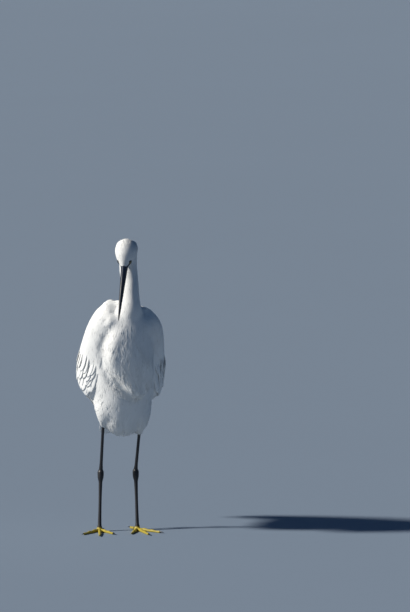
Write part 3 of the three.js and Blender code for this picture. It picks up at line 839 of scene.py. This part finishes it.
def follow(tree, points, height):
    """Points moved onto the skin and lifted off it by height, with the skin's normals there."""
    placed, normals = np.empty_like(points), np.empty_like(points)
    for i, point in enumerate(points):
        near, normal, _, _ = tree.find_nearest(point)
        placed[i], normals[i] = near, normal
    return placed + normals * height[:, None], normals


def gather_tufts(roots, growth, rng):
    """Neighbouring roots share a feather: they lie towards its tip and ride at its height."""
    apart = growth.width * TUFT_WIDE
    leads = np.flatnonzero(rng.random(len(roots)) < 1 / (growth.density * apart ** 2).clip(1, None))
    near = KDTree(len(leads))
    for i, lead in enumerate(leads):
        near.insert(roots[lead], i)
    near.balance()
    own = np.array([near.find(root)[1] for root in roots.tolist()])
    lead = leads[own]
    tips = roots[lead] + growth.lie[lead] * (growth.length[lead] * 1.5)[:, None]
    hold = (0.3 + 0.4 * growth.loose)[:, None]
    lie = growth.lie * (1 - hold) + unit(tips - roots) * hold
    turn = (rng.normal(0, 1, len(leads))[own] * (0.05 + 0.12 * growth.loose))[:, None]
    return unit(lie + growth.across * turn), rng.random(len(leads))[own]


def leaves(tree, roots, normals, lie, length, width, loose, height, lift, free, rng, patches, shares):
    """Closed strands of three sides each, that follow the skin and rise a little towards their tips.

    shares are their widths at the stations, as shares of the full width.
    """
    count = len(roots)
    turned = unit(lie + np.cross(normals, lie) * rng.normal(0, TURN_STRAY, count)[:, None])
    side = unit(np.cross(turned, normals))
    bend = side * (rng.normal(0, BEND_STRAY, count) * loose)[:, None]
    stray = (rng.random(count) < LOOSE_SHARE) * length * 0.1 * loose
    free = free * (0.3 + 0.7 * height) + stray
    tip = 0.12 + 0.035 * length * loose * height + 0.1 * rng.random(count)
    rings, shading, uv = [], [], []
    for k, t in enumerate(LEAF_STATIONS):
        at = roots + (turned * t + bend * t * t) * length[:, None]
        rise = lift - TUCK + (TUCK + 0.2) * min(1, t * 3) + t * tip + t * t * free
        at, out = follow(tree, at, rise)
        across = unit(np.cross(turned, out))
        wide = width * 0.5 * shares[k]
        thick = (0.1 + 0.03 * width) * (1 - 0.6 * t)
        lean = across * LEAN
        if k < 3:
            root = at - out * (SIDE_DEPTH + 0.5 * t * tip + 0.4 * t * t * free)[:, None]
            rings += [root + across * wide[:, None], root - across * wide[:, None], at + out * thick[:, None]]
            shading += [out + lean, out - lean, out]
            uv += [(0, t), (1, t), (0.5, t)]
        else:
            rings.append(at)
            shading.append(out)
            uv.append((0.5, 1))
    points = np.stack(rings, 1)
    uv = np.array(uv)
    pattern = [(0, 2, 1)]
    for k in (0, 3):
        for a, b in ((0, 1), (1, 2), (2, 0)):
            pattern += [(k + a, k + b, k + 3 + b), (k + a, k + 3 + b, k + 3 + a)]
    pattern += [(6, 7, 9), (7, 8, 9), (8, 6, 9)]
    pattern = np.array(pattern)
    under = np.all((pattern % 3 != 2) | (pattern == 9), axis=1)
    if signed_volume(points[0], pattern) < 0:
        pattern = pattern[:, ::-1]
    faces = (np.arange(count)[:, None, None] * 10 + pattern[None]).reshape(-1, 3)
    bake = patches[:, None] + (uv[None] - 0.5) * PATCH
    lie_uv = np.broadcast_to(uv[None], (count, 10, 2))
    uvs = {"OFBake": bake.reshape(-1, 2), "Lie": lie_uv.reshape(-1, 2)}
    shading = unit(np.stack(shading, 1))[:, pattern] * np.where(under, -1, 1)[None, :, None, None]
    return points.reshape(-1, 3), faces, uvs, shading


def scatter(points, triangles, density, rng):
    """Random places on a mesh, so many for each square millimetre: triangle numbers and corner weights."""
    a, b, c = (points[triangles[:, k]] for k in range(3))
    area = np.linalg.norm(np.cross(b - a, c - a), axis=1) / 2
    number = rng.poisson(area * density)
    which = np.repeat(np.arange(len(triangles)), number)
    u, v = rng.random(len(which)), rng.random(len(which))
    flip = u + v > 1
    u[flip], v[flip] = 1 - u[flip], 1 - v[flip]
    return which, np.stack([1 - u - v, u, v], -1)


# Long feathers as vanes

VANE_ROWS = 12
VANE_COLUMNS = np.array([-1, -0.62, -0.08, 0.08, 0.62, 1])
VANE_RAGGED = 0.05
SHAFT_HIGH = 0.08
# Widths along a vane, as shares
ROUND_TIP = through((0, 0.4), (0.25, 0.86), (0.62, 1), (0.86, 0.8), (0.96, 0.45), (1, 0.1))
SOFT_TIP = through((0, 0.4), (0.25, 0.86), (0.55, 1), (0.8, 0.74), (0.94, 0.34), (1, 0.06))
POINTED_TIP = through((0, 0.5), (0.3, 1), (0.65, 0.72), (1, 0.05))


def vane(path, half, rng, patch, tilt=0.0, tip=ROUND_TIP, thick=0.2, cup=0.05):
    """One feather as a thin closed blade with a shaft: path(t, lift) gives places, cup its hollow across."""
    ts = np.linspace(0, 1, VANE_ROWS)
    centre = path(ts, 0.0)
    out = unit(path(ts, 1.0) - centre)
    along = unit(np.gradient(centre, axis=0))
    across = unit(np.cross(along, out))
    leant = across * math.cos(tilt) + out * math.sin(tilt)
    out = unit(np.cross(leant, along))
    ragged = 1 + rng.normal(0, VANE_RAGGED, (VANE_ROWS, len(VANE_COLUMNS)))
    ragged[0] = 1
    wide = half * tip(ts)[:, None] * VANE_COLUMNS * ragged
    hollow = -cup * half * np.abs(VANE_COLUMNS) ** 1.6 * tip(ts)[:, None]
    sweep = -np.abs(VANE_COLUMNS) * half * 0.25
    ridge = SHAFT_HIGH * (np.abs(VANE_COLUMNS) < 0.1) * (1 - 0.8 * ts[:, None])
    body = centre[:, None] + leant[:, None] * wide[..., None] + along[:, None] * sweep[None, :, None]
    top = body + out[:, None] * (hollow + ridge + thick / 2)[..., None]
    low = body + out[:, None] * (hollow - thick / 2)[..., None]
    rings = np.concatenate([top, low[:, ::-1]], 1)
    points, faces = loft(rings)
    uv = np.stack(np.broadcast_arrays((VANE_COLUMNS[None] + 1) / 2, ts[:, None]), -1)
    uv = np.concatenate([uv, uv[:, ::-1]], 1).reshape(-1, 2)
    uv = np.concatenate([uv, [(0.5, 0), (0.5, 1)]])
    return points, faces, patch + (uv - 0.5) * PATCH, uv


def gather(vanes):
    """Many vanes as one mesh's points, faces and UV maps."""
    points, faces, bake, lie = zip(*vanes)
    points, faces = join(zip(points, faces))
    return points, faces, {"OFBake": np.concatenate(bake), "Lie": np.concatenate(lie)}


# Tiers of a wing: tips run from the first (distance, angle) to the last, and the roots lie nearer to the back
# by the fan's degrees
TIERS = (
    dict(count=7, tips=((262, 62), (292, 26)), length=116, half=7.5, lift=-0.8, fan=10),
    dict(count=11, tips=((136, 125), (262, 68)), length=88, half=11, lift=0.2, fan=14),
    dict(count=11, tips=((122, 124), (206, 60)), length=56, half=9.5, lift=0.6, fan=12, tip=SOFT_TIP),
    dict(count=12, tips=((108, 123), (178, 50)), length=46, half=8.5, lift=0.9, fan=11, tip=SOFT_TIP),
    dict(count=13, tips=((96, 121), (152, 36)), length=38, half=7.5, lift=1.1, fan=9, tip=SOFT_TIP),
    dict(count=5, tips=((222, 56), (270, 22)), length=112, half=11, lift=1.8, fan=-4),
    dict(count=9, tips=((196, 44), (268, 9)), length=104, half=6.5, lift=2.4, fan=-3),
    dict(count=7, tips=((184, 26), (232, 7)), length=80, half=5.5, lift=2.8, fan=-1),
)
ROOT_SINK = 2.2
TIP_STRAY, ANGLE_STRAY, LENGTH_STRAY, LIFT_STRAY = 3.2, 1.3, 0.07, 0.2


def wing_vanes(sign, rng):
    vanes = []
    for tier in TIERS:
        (s0, a0), (s1, a1) = tier["tips"]
        for place in np.linspace(0, 1, tier["count"]):
            tip = s0 + (s1 - s0) * place + rng.normal(0, TIP_STRAY)
            angle = a0 + (a1 - a0) * place + rng.normal(0, ANGLE_STRAY)
            long = tier["length"] * (1 + rng.normal(0, LENGTH_STRAY))
            lift = tier["lift"] + rng.normal(0, LIFT_STRAY)

            def path(t, extra):
                s = tip - long * (1 - t)
                phi = np.radians(angle - tier["fan"] * (1 - t) ** 1.5)
                buried = 2.5 * (1 - t) ** 4 + 4 * smooth_step(angle, 108, 122) * (1 - t) ** 2
                rise = (ROOT_SINK + lift) * t ** 1.15 - buried
                return on_wing(sign, s, phi, extra + CORE_LIFT - ROOT_SINK + rise)

            patch = np.array([0.05 + 0.9 * (angle + 10) / 140, 0.05 + 0.9 * (tip - long + 40) / 330])
            vanes.append(vane(path, tier["half"], rng, patch, tilt=math.radians(2.2) * sign, cup=0.09,
                              thick=0.4, tip=tier.get("tip", ROUND_TIP)))
    return vanes


TAIL_COUNT = 12
TAIL_FROM, TAIL_TO, TAIL_HALF = 211, 298, 6.4
# Rows of undertail coverts: where they start, how deep, and how many
UNDERTAIL = ((176, -24, 9), (190, -17, 9), (202, -11, 7))
UNDERTAIL_LONG, UNDERTAIL_HALF = 58, 6.0


def tail_vanes(rng):
    vanes = []
    for i in range(TAIL_COUNT):
        fan = 2 * i / (TAIL_COUNT - 1) - 1
        end = TAIL_TO - 7 * fan * fan + rng.normal(0, 0.8)

        def path(t, lift):
            up = 1.2 - 3 * abs(fan) - 2 * t + lift
            return in_body(TAIL_FROM + (end - TAIL_FROM) * t, fan * (7 + 11 * t), up)

        patch = np.array([0.1 + 0.06 * i, 0.5])
        vanes.append(vane(path, TAIL_HALF, rng, patch, tilt=math.radians(5) * np.sign(fan)))
    return vanes + undertail(rng)


def undertail(rng):
    """Soft coverts that close the space between belly and tail."""
    vanes = []
    for start, depth, count in UNDERTAIL:
        for fan in np.linspace(-1, 1, count):
            long = UNDERTAIL_LONG * (1 + rng.normal(0, 0.08))
            first = start + rng.normal(0, 2)

            def path(t, lift):
                up = depth * (1 - t) ** 0.8 + (-5 - 2 * abs(fan)) * t - lift
                return in_body(first + long * t, fan * (19 - 5 * t), up)

            vanes.append(vane(path, UNDERTAIL_HALF, rng, np.array([0.5 + 0.3 * fan, 0.3]), tip=POINTED_TIP))
    return vanes


# Bare parts

def bill_loft(half, top, low, to, groove=0.0):
    """Half of the bill, flat at the mouth. Only the upper half has the nostrils' groove."""
    rings = []
    for ahead in np.concatenate([np.linspace(-8, to - 6, 60), np.linspace(to - 5.5, to, 10)]):
        mouth = low(ahead) if groove else top(ahead)
        rise = top(ahead) - low(ahead)
        ring = ring_points(36, in_head(ahead, 0, mouth), OUT, CROWN, half(ahead), rise, rise, 0.92)
        height = (ring - in_head(ahead, 0, mouth)) @ CROWN
        beyond = np.minimum(height, 0) if groove else np.maximum(height, 0)
        ring = ring - CROWN * beyond[:, None]
        if groove:
            away = (ring - in_head(ahead, 0, mouth)) @ OUT
            depth = groove * np.exp(-((height - rise * 0.5) / 0.55) ** 2) * smooth_step(48 - ahead, 0, 30)
            ring = ring - OUT * (np.sign(away) * depth * smooth_step(np.abs(away), 1, 2.5))[:, None]
        rings.append(ring)
    return loft(rings)


BILL_HALF = through((-8, 6.4), (0, 5.6), (27, 4.3), (59, 2.8), (84, 1.2), (91, 0.4))
BILL_TOP = through((-8, 7.2), (0, 6.4), (22, 4.6), (54, 3), (82, 1.2), (91, -0.6))
BILL_LOW = through((-8, -8.4), (0, -8), (22, -6.4), (54, -4.2), (80, -2.6), (89, -1.6))
MOUTH = -1.4
MOUTH_GAP = 0.16
GROOVE = 0.45
EYE_SUNK = 1.3
BALL_RADIUS = 4.1
BALL_SIDES = 40
LID_OFF, LID_LONG, LID_HIGH = 3.05, 3.0, 2.75


def eye_gaze(sign):
    return unit(OUT * sign + AHEAD * 0.6 + CROWN * 0.02)


def sunk_eye(sign):
    """The eye's centre, a little deeper than the plain solid's so that feathers stand round it."""
    return eye_centre(sign) - OUT * sign * EYE_SUNK


def eyeball(sign):
    """A wet ball with a bulging cornea, and at each point how far it is off the gaze."""
    gaze = eye_gaze(sign)
    side = unit(np.cross(gaze, CROWN))
    up = np.cross(side, gaze)
    rings, shade = [], []
    for a in np.linspace(0.02, math.pi - 0.02, BALL_SIDES):
        bulge = 1 + 0.03 * math.exp(-((a / 0.62) ** 4))
        r = BALL_RADIUS * bulge
        half = r * math.sin(a)
        rings.append(ring_points(BALL_SIDES, sunk_eye(sign) + gaze * r * math.cos(a), side, up, half, half))
        shade += [a / math.pi] * BALL_SIDES
    points, faces = loft(rings)
    return points, faces, shade + [0.0, 1.0]


def lid(sign):
    """A soft rim round the eye, a little longer than high."""
    gaze = eye_gaze(sign)
    long = unit(AHEAD - gaze * (AHEAD @ gaze))
    high = np.cross(gaze, long) * sign
    centre = sunk_eye(sign) + gaze * LID_OFF
    rings = []
    for a in np.linspace(0, 2 * math.pi, 48, endpoint=False):
        out = long * math.cos(a) * LID_LONG + high * math.sin(a) * LID_HIGH
        thick = 0.55 + 0.15 * abs(math.sin(a))
        place = centre + out - gaze * 0.25 * math.cos(a) ** 2
        rings.append(ring_points(10, place, unit(out), gaze, thick, 0.7))
    rings = np.array(rings)
    count, sides = rings.shape[:2]
    i, k = np.meshgrid(np.arange(count), np.arange(sides), indexing="ij")
    a, b = i * sides + k, i * sides + (k + 1) % sides
    c, d = ((i + 1) % count) * sides + (k + 1) % sides, ((i + 1) % count) * sides + k
    faces = np.concatenate([np.stack(corners, -1).reshape(-1, 3) for corners in ((a, b, c), (a, c, d))])
    points = rings.reshape(-1, 3)
    return points, faces if signed_volume(points, faces) > 0 else faces[:, ::-1]


SHANK_RADIUS = through((0, 3), (0.3, 2.7), (0.8, 2.9), (1, 4))
TARSUS_RADIUS = through((0, 3.2), (0.06, 5.6), (0.13, 5.4), (0.24, 3.4), (0.6, 2.8), (0.93, 3.2), (1, 3.8))
SHANK_PLATES, TARSUS_PLATES = 22, 34
PLATE_STEP = 0.2
TOE_RADIUS = (3.1, 1.9)
CLAW_RADIUS = (1.55, 0.22)
PALM_RADIUS = through((0, 5.2), (2.5, 6.2), (5, 5.2), (7, 4.2), (9.5, 4))
# Each toe's name, its turn from straight ahead in degrees, its length and its claw's
TOES = (("inner", 32, 46, 8), ("middle", 2, 60, 9), ("outer", -30, 50, 8), ("hind", 176, 27, 12))


def scute_step(t, count, depth):
    """The overlap of plates down a limb: a small step at each plate's lower edge."""
    return depth * ((t * count) % 1 - 0.5)


def plated_limb(top, low, radius, plates, step, flat, count):
    """A limb with overlapping plates all the way down."""
    radii = oval(lambda t: radius(t) - 0.2 + scute_step(t, plates, step), flat)
    return limb((top, (top + low) / 2, low), radii, count, sides=28)


def shank_loft(side):
    top = FEATHER_END[side] + vec(0, -3, 9)
    return plated_limb(top, HEEL_JOINT[side], SHANK_RADIUS, SHANK_PLATES, step=0.16, flat=1.15, count=180)


def tarsus_loft(side):
    top, low = HEEL_JOINT[side] + vec(0, 0, 5.5), FOOT_TOP[side] + vec(0, 0, -1)
    return plated_limb(top, low, TARSUS_RADIUS, TARSUS_PLATES, step=PLATE_STEP, flat=1.1, count=280)


def toe_frame(side, turn):
    """The way a toe points, the way across it, and its root on the ground."""
    angle = FOOT_SPLAY[side] - math.radians(turn) * SIDES[side][1]
    away = vec(math.sin(angle), -math.cos(angle), 0)
    return away, vec(away[1], -away[0], 0), FOOT_TOP[side] * vec(1, 1, 0)


def toe_loft(side, turn, length):
    away, across, root = toe_frame(side, turn)
    rings = []
    for t in np.linspace(0, 1, 120):
        swell = 1 + 0.1 * math.cos(t * math.pi * 6)
        r = (TOE_RADIUS[0] + (TOE_RADIUS[1] - TOE_RADIUS[0]) * t) * swell
        plate = scute_step(t, length / 2.6, PLATE_STEP)
        place = root + away * t * length + vec(0, 0, r * 0.9)
        ring = ring_points(24, place, across, vec(0, 0, 1), r - 0.1, r - 0.1 + plate, r - 0.1)
        ring[:, 2] = np.maximum(ring[:, 2], 0.02)
        rings.append(ring)
    return loft(rings)


def palm_loft(side):
    rings = []
    for z in np.linspace(0.02, 9.4, 20):
        place = FOOT_TOP[side] * vec(1, 1, 0) + vec(0, 0, z)
        r = float(PALM_RADIUS(z))
        rings.append(ring_points(28, place, ACROSS, vec(0, -1, 0), r - 0.2, r * 1.05 - 0.2))
    return loft(rings)


def claw_loft(side, turn, toe_length, length):
    away, across, root = toe_frame(side, turn)
    rings = []
    for t in np.linspace(0, 1, 24):
        r = CLAW_RADIUS[0] + (CLAW_RADIUS[1] - CLAW_RADIUS[0]) * t ** 1.15
        high = 1.9 + 0.9 * math.sin(t * math.pi * 0.8) - 1.25 * t
        place = root + away * (toe_length - 0.8 + t * (length + 1.0)) + vec(0, 0, high)
        rings.append(ring_points(16, place, across, vec(0, 0, 1), r * 0.72, r, r * 0.8))
    return loft(rings)


# Settings that a user would change

def color_setting(name, description, *default):
    return bpy.props.FloatVectorProperty(name=name, description=description, subtype="COLOR", size=3,
                                         default=default, min=0, max=1)


class EgretLook(bpy.types.PropertyGroup):
    coat_density: bpy.props.FloatProperty(
        name="Coat density", description="How thickly the small feathers stand", default=1.0, min=0.1,
        max=1.5)
    coat_length: bpy.props.FloatProperty(
        name="Coat length", description="Length of the small feathers, as a share of the real one",
        default=1.0, min=0.5, max=1.5)
    seed: bpy.props.IntProperty(
        name="Seed", description="Which of many equal coats is grown", default=7, min=0)
    white: color_setting("White", "Colour of the plumage", 0.88, 0.88, 0.86)
    cream: color_setting("Cream", "Colour of the plumage's warmer patches", 0.78, 0.765, 0.72)
    horn: color_setting("Horn", "Colour of the bill and claws", 0.012, 0.014, 0.02)
    lore: color_setting("Lore", "Colour of the bare skin between bill and eye", 0.03, 0.042, 0.06)
    iris: color_setting("Iris", "Colour of the eye", 0.72, 0.6, 0.16)
    leg: color_setting("Leg", "Colour of the bare legs", 0.014, 0.014, 0.016)
    toe: color_setting("Toe", "Colour of the feet", 0.55, 0.43, 0.05)
    floor: color_setting("Floor", "Colour of the studio floor", 0.23, 0.29, 0.37)


def look():
    return bpy.context.scene.egret_look


def toned(color, share):
    """A colour made darker, or lighter by a share above 1."""
    return [c * share for c in color]


def plumage_paint():
    found = bpy.data.materials.get("plumage")
    if found:
        return found
    paint = Paint("plumage", look().white, look().cream, scale=26.0, roughness=0.82, Sheen_Weight=0.1,
                  Sheen_Roughness=0.6, Subsurface_Weight=0.4, Subsurface_Radius=(1.0, 0.95, 0.9),
                  Subsurface_Scale=0.003)
    paint.barbs(count=9.0, depth=0.00012)
    return paint.material


def skin_paint():
    paint = Paint("skin", look().white, look().cream, scale=26.0, roughness=0.85)
    paint.blend(paint.attribute("bare"), look().lore)
    paint.scales(scale=900.0, depth=0.00015)
    return paint.material


# The pieces

LONG_VARIES, WIDE_VARIES = 0.18, 0.15


class EGRET_OT_skin(bpy.types.Operator):
    """One skin over body, neck, head, thighs and wings, and the coat of small feathers on it"""
    bl_idname = "egret.skin"
    bl_label = "Skin and small feathers"

    def execute(self, context):
        mesh = skin_mesh()
        points, triangles, normals = mesh_arrays(mesh)
        bare = mesh.attributes.new("bare", "FLOAT", "POINT")
        bare.data.foreach_set("value", bareness(points).astype(np.float32))
        mesh.polygons.foreach_set("use_smooth", np.full(len(mesh.polygons), True))
        add_piece("skin", mesh, skin_paint(),
                  ("torso", "neck_lower", "neck_middle", "neck_upper", "head", "thigh_left", "thigh_right"))
        self.grow(points, triangles, normals)
        return {"FINISHED"}

    def grow(self, points, triangles, normals):
        """The coat, a piece for each region, rooted at random places of the skin."""
        settings = look()
        rng = np.random.default_rng(settings.seed)
        tree = BVHTree.FromPolygons(points.tolist(), triangles.tolist())
        growth = Growth(points, normals)
        growth.even_out(triangles, normals)
        share = settings.coat_density * 1.0
        density = growth.density[triangles].mean(1) * share
        which, weights = scatter(points, triangles, density, rng)
        corners = triangles[which]
        roots, facing = inside(weights, points[corners]), unit(inside(weights, normals[corners]))
        growth = growth.at(corners, weights)
        patches = growth.unwrap()
        lie, height = gather_tufts(roots, growth, rng)
        long = growth.length * settings.coat_length * self.varied(LONG_VARIES, len(roots), rng)
        wide = growth.width * self.varied(WIDE_VARIES, len(roots), rng)
        for number, region in enumerate(REGIONS):
            halves = ((-1, "_right"), (1, "_left")) if number >= BODY_COAT else ((0, ""),)
            for half, ending in halves:
                own = growth.region == number
                if half:
                    own &= roots[:, 0] * half > 0
                grown, faces, uvs, shading = leaves(
                    tree, roots[own], facing[own], lie[own], long[own], wide[own], growth.loose[own],
                    height[own], growth.lift[own], growth.free[own], rng, patches[own],
                    ROUNDED if number == SHOULDER_COAT else SLENDER)
                new_piece("coat_" + region + ending, (grown, faces), plumage_paint(), "plumage", uvs=uvs,
                          normals=shading)

    def varied(self, spread, count, rng):
        """Random sizes round 1, none far off."""
        return (1 + spread * rng.standard_normal(count)).clip(0.5, 1.6)


class EGRET_OT_feathers(bpy.types.Operator):
    """The long feathers of wings and tail"""
    bl_idname = "egret.feathers"
    bl_label = "Wing and tail feathers"

    def execute(self, context):
        rng = np.random.default_rng(look().seed + 1)
        groups = [("wing_" + side, wing_vanes(sign, rng)) for side, sign in SIDES]
        for node, vanes in groups + [("tail", tail_vanes(rng))]:
            points, faces, uvs = gather(vanes)
            new_piece("feathers_" + node, (points, faces), plumage_paint(), "plumage", (node,), uvs=uvs)
        return {"FINISHED"}


BILL_ROOT_COLOR = (0.012, 0.022, 0.045)
PUPIL_COLOR = (0.003, 0.003, 0.003)
# How much of the iris shows at each share of the half turn away from the gaze
IRIS_RING = ((0.0, 0), (0.14, 0), (0.155, 1), (0.215, 1), (0.235, 0.02))


class EGRET_OT_face(bpy.types.Operator):
    """The two halves of the bill, and the eyes with their rims"""
    bl_idname = "egret.face"
    bl_label = "Bill and eyes"

    def execute(self, context):
        settings = look()
        horn = Paint("bill_horn", settings.horn, toned(settings.horn, 1.9), scale=160.0, roughness=0.3)
        horn.blend(horn.attribute("root"), BILL_ROOT_COLOR)
        horn.bump(horn.height, depth=0.0001, strength=0.3)

        upper = BILL_TOP, lambda ahead: MOUTH + MOUTH_GAP, BILL_LENGTH, GROOVE
        lower = lambda ahead: MOUTH - MOUTH_GAP, BILL_LOW, BILL_LENGTH - 2, 0.0
        for name, half in (("bill_upper", upper), ("bill_lower", lower)):
            points, faces = bill_loft(BILL_HALF, *half)
            ahead, _, _ = head_place(points)
            root = {"root": 0.8 * (1 - smooth_step(ahead, 0, 34))}
            new_piece("horn_" + name, (points, faces), horn.material, "bill", (name,), shades=root)
        eye = Paint("eye", settings.iris, toned(settings.iris, 0.8), scale=900.0, roughness=0.05,
                    Coat_Weight=1.0, Coat_Roughness=0.02)
        iris = eye.ramp(eye.attribute("away"), *IRIS_RING)
        eye.show(mix_colors(eye.tree, iris, rgba(PUPIL_COLOR), eye.color))
        rim = Paint("eye_rim", settings.lore, toned(settings.lore, 0.5), scale=700.0, roughness=0.5)
        rim.scales(scale=1500.0, depth=0.0001)
        for side, sign in SIDES:
            *ball, away = eyeball(sign)
            new_piece("eyeball_" + side, ball, eye.material, "eye", ("eye_" + side,), shades={"away": away})
            new_piece("lid_" + side, lid(sign), rim.material, "leg_skin")
        return {"FINISHED"}


class EGRET_OT_legs(bpy.types.Operator):
    """Bare legs with overlapping plates, yellow feet, and claws"""
    bl_idname = "egret.legs"
    bl_label = "Legs and feet"

    def execute(self, context):
        settings = look()
        black = Paint("leg_skin", toned(settings.leg, 1.6), settings.leg, scale=320.0, roughness=0.42)
        black.scales(scale=520.0, depth=0.0003, stretch=(1, 1, 0.45))
        yellow = Paint("toe_skin", settings.toe, toned(settings.toe, 0.62), scale=260.0, roughness=0.5)
        yellow.blend(yellow.attribute("ankle"), settings.leg)
        yellow.scales(scale=620.0, depth=0.0002)
        horn = Paint("claw_horn", settings.horn, toned(settings.horn, 2), scale=300.0, roughness=0.35)
        horn.bump(horn.height, depth=0.0001, strength=0.2)
        for side, (name, _) in enumerate(SIDES):
            for node, part in (("shank_" + name, shank_loft(side)), ("tarsus_" + name, tarsus_loft(side))):
                new_piece("scaly_" + node, part, black.material, "leg_skin", (node,))
            toes = [toe_loft(side, turn, long) for _, turn, long, _ in TOES]
            points, faces = join([palm_loft(side), *toes])
            node = "foot_" + name
            off = np.hypot(points[:, 0] - FOOT_TOP[side][0], points[:, 1] - FOOT_TOP[side][1])
            ankle = smooth_step(points[:, 2], 5.5, 9) * (1 - smooth_step(off, 5, 9))
            new_piece("scaly_" + node, (points, faces), yellow.material, "toe_skin", (node,),
                      shades={"ankle": ankle})
            for toe, turn, long, claw in TOES:
                node = "claw_" + name + "_" + toe
                new_piece("horn_" + node, claw_loft(side, turn, long, claw), horn.material, "claw", (node,))
        return {"FINISHED"}


# Stage: the photo's direction of view, from far off through a long lens

VIEW_TURN = math.radians(-9)
VIEW_RISE = math.radians(7)
VIEW_DISTANCE = 17.5
MM_PER_POINT = 1.7
FRAME_HIGH = 612
AIM_RIGHT, AIM_UP = 141, 387

KEY_POWER, KEY_WIDTH, KEY_COLOR = 4.2, math.radians(6), (1.0, 0.965, 0.9)
KEY_WAY = (4.5, 0.25, -3.1)
FILL_POWER, FILL_SIZE, FILL_COLOR = 1.5, 2.5, (0.45, 0.7, 1.0)
FILL_PLACE, FILL_AIM = (3.2, -2.8, 1.6), (0, 0, 0.3)
SKY_POWER, SKY_COLOR = 0.11, (0.2, 0.47, 1.0)
FLOOR_FRONT, FLOOR_BACK, FLOOR_BEND, WALL_TOP, FLOOR_SIDE = -30, 10, 6, 14, 40


def set_up(name, data, place, way):
    """A camera or lamp at a place in metres that faces one way."""
    item = bpy.data.objects.new(name, data)
    item.location = place
    item.rotation_euler = Vector(way).to_track_quat("-Z", "Y").to_euler()
    bpy.context.scene.collection.objects.link(item)
    return item


class EGRET_OT_stage(bpy.types.Operator):
    """Camera, lights and a plain blue-grey floor that curves up behind"""
    bl_idname = "egret.stage"
    bl_label = "Stage"

    def execute(self, context):
        right = vec(math.cos(VIEW_TURN), math.sin(VIEW_TURN), 0)
        level = math.cos(VIEW_RISE)
        back = vec(math.sin(VIEW_TURN) * level, -math.cos(VIEW_TURN) * level, math.sin(VIEW_RISE))
        aim = to_scene(right * AIM_RIGHT + vec(0, 0, AIM_UP))
        camera = bpy.data.cameras.new("camera")
        camera.sensor_fit = "VERTICAL"
        camera.angle = 2 * math.atan(MM_PER_POINT * FRAME_HIGH * MM / 2 / VIEW_DISTANCE)
        camera.clip_end = 200
        context.scene.camera = set_up("camera", camera, aim + back * VIEW_DISTANCE, -back)
        key = bpy.data.lights.new("key", "SUN")
        key.energy, key.angle, key.color = KEY_POWER, KEY_WIDTH, KEY_COLOR
        set_up("key", key, (0, 0, 0), KEY_WAY)
        fill = bpy.data.lights.new("fill", "AREA")
        fill.shape, fill.size = "DISK", FILL_SIZE
        fill.energy, fill.color = FILL_POWER, FILL_COLOR
        set_up("fill", fill, FILL_PLACE, Vector(FILL_AIM) - Vector(FILL_PLACE))
        context.scene.view_settings.view_transform = "Standard"
        world = bpy.data.worlds.new("studio")
        context.scene.world = world
        world.use_nodes = True
        sky = world.node_tree.nodes["Background"].inputs
        sky["Color"].default_value, sky["Strength"].default_value = rgba(SKY_COLOR), SKY_POWER
        self.floor(context)
        return {"FINISHED"}

    def floor(self, context):
        """The floor's profile from front to back, in metres, drawn out to both sides."""
        sweep = [(y, 0.0) for y in np.linspace(FLOOR_FRONT, FLOOR_BACK, 12)]
        sweep += [(FLOOR_BACK + FLOOR_BEND * math.sin(a), FLOOR_BEND - FLOOR_BEND * math.cos(a))
                  for a in np.linspace(0.1, math.pi / 2, 16)]
        sweep += [(FLOOR_BACK + FLOOR_BEND, WALL_TOP)]
        points = [(x, y, z) for y, z in sweep for x in (-FLOOR_SIDE, FLOOR_SIDE)]
        k = np.arange(len(sweep) - 1) * 2
        faces = np.stack([k, k + 1, k + 3, k + 2], -1)
        mesh = new_mesh("floor", np.array(points, float) / MM - ORIGIN, faces)
        paint = Paint("floor", look().floor, toned(look().floor, 0.97), scale=1.5, roughness=0.8)
        mesh.materials.append(paint.material)
        floor = bpy.data.objects.new("floor", mesh)
        context.scene.collection.objects.link(floor)


class EGRET_PT_panel(bpy.types.Panel):
    """Lists the settings and the pieces"""
    bl_idname = "EGRET_PT_panel"
    bl_label = "Little egret"
    bl_space_type = "VIEW_3D"
    bl_region_type = "UI"
    bl_category = "Egret"

    def draw(self, context):
        for name in EgretLook.__annotations__:
            self.layout.prop(context.scene.egret_look, name)
        for operator in OPERATORS:
            self.layout.operator(operator.bl_idname)


OPERATORS = (EGRET_OT_skin, EGRET_OT_feathers, EGRET_OT_face, EGRET_OT_legs, EGRET_OT_stage)
CLASSES = (EgretLook, *OPERATORS, EGRET_PT_panel)


def register():
    for item in CLASSES:
        bpy.utils.register_class(item)
    bpy.types.Scene.egret_look = bpy.props.PointerProperty(type=EgretLook)


def unregister():
    del bpy.types.Scene.egret_look
    for item in reversed(CLASSES):
        bpy.utils.unregister_class(item)


def main():
    register()
    bpy.ops.egret.skin()
    bpy.ops.egret.feathers()
    bpy.ops.egret.face()
    bpy.ops.egret.legs()
    bpy.ops.egret.stage()


if __name__ == "__main__":
    main()
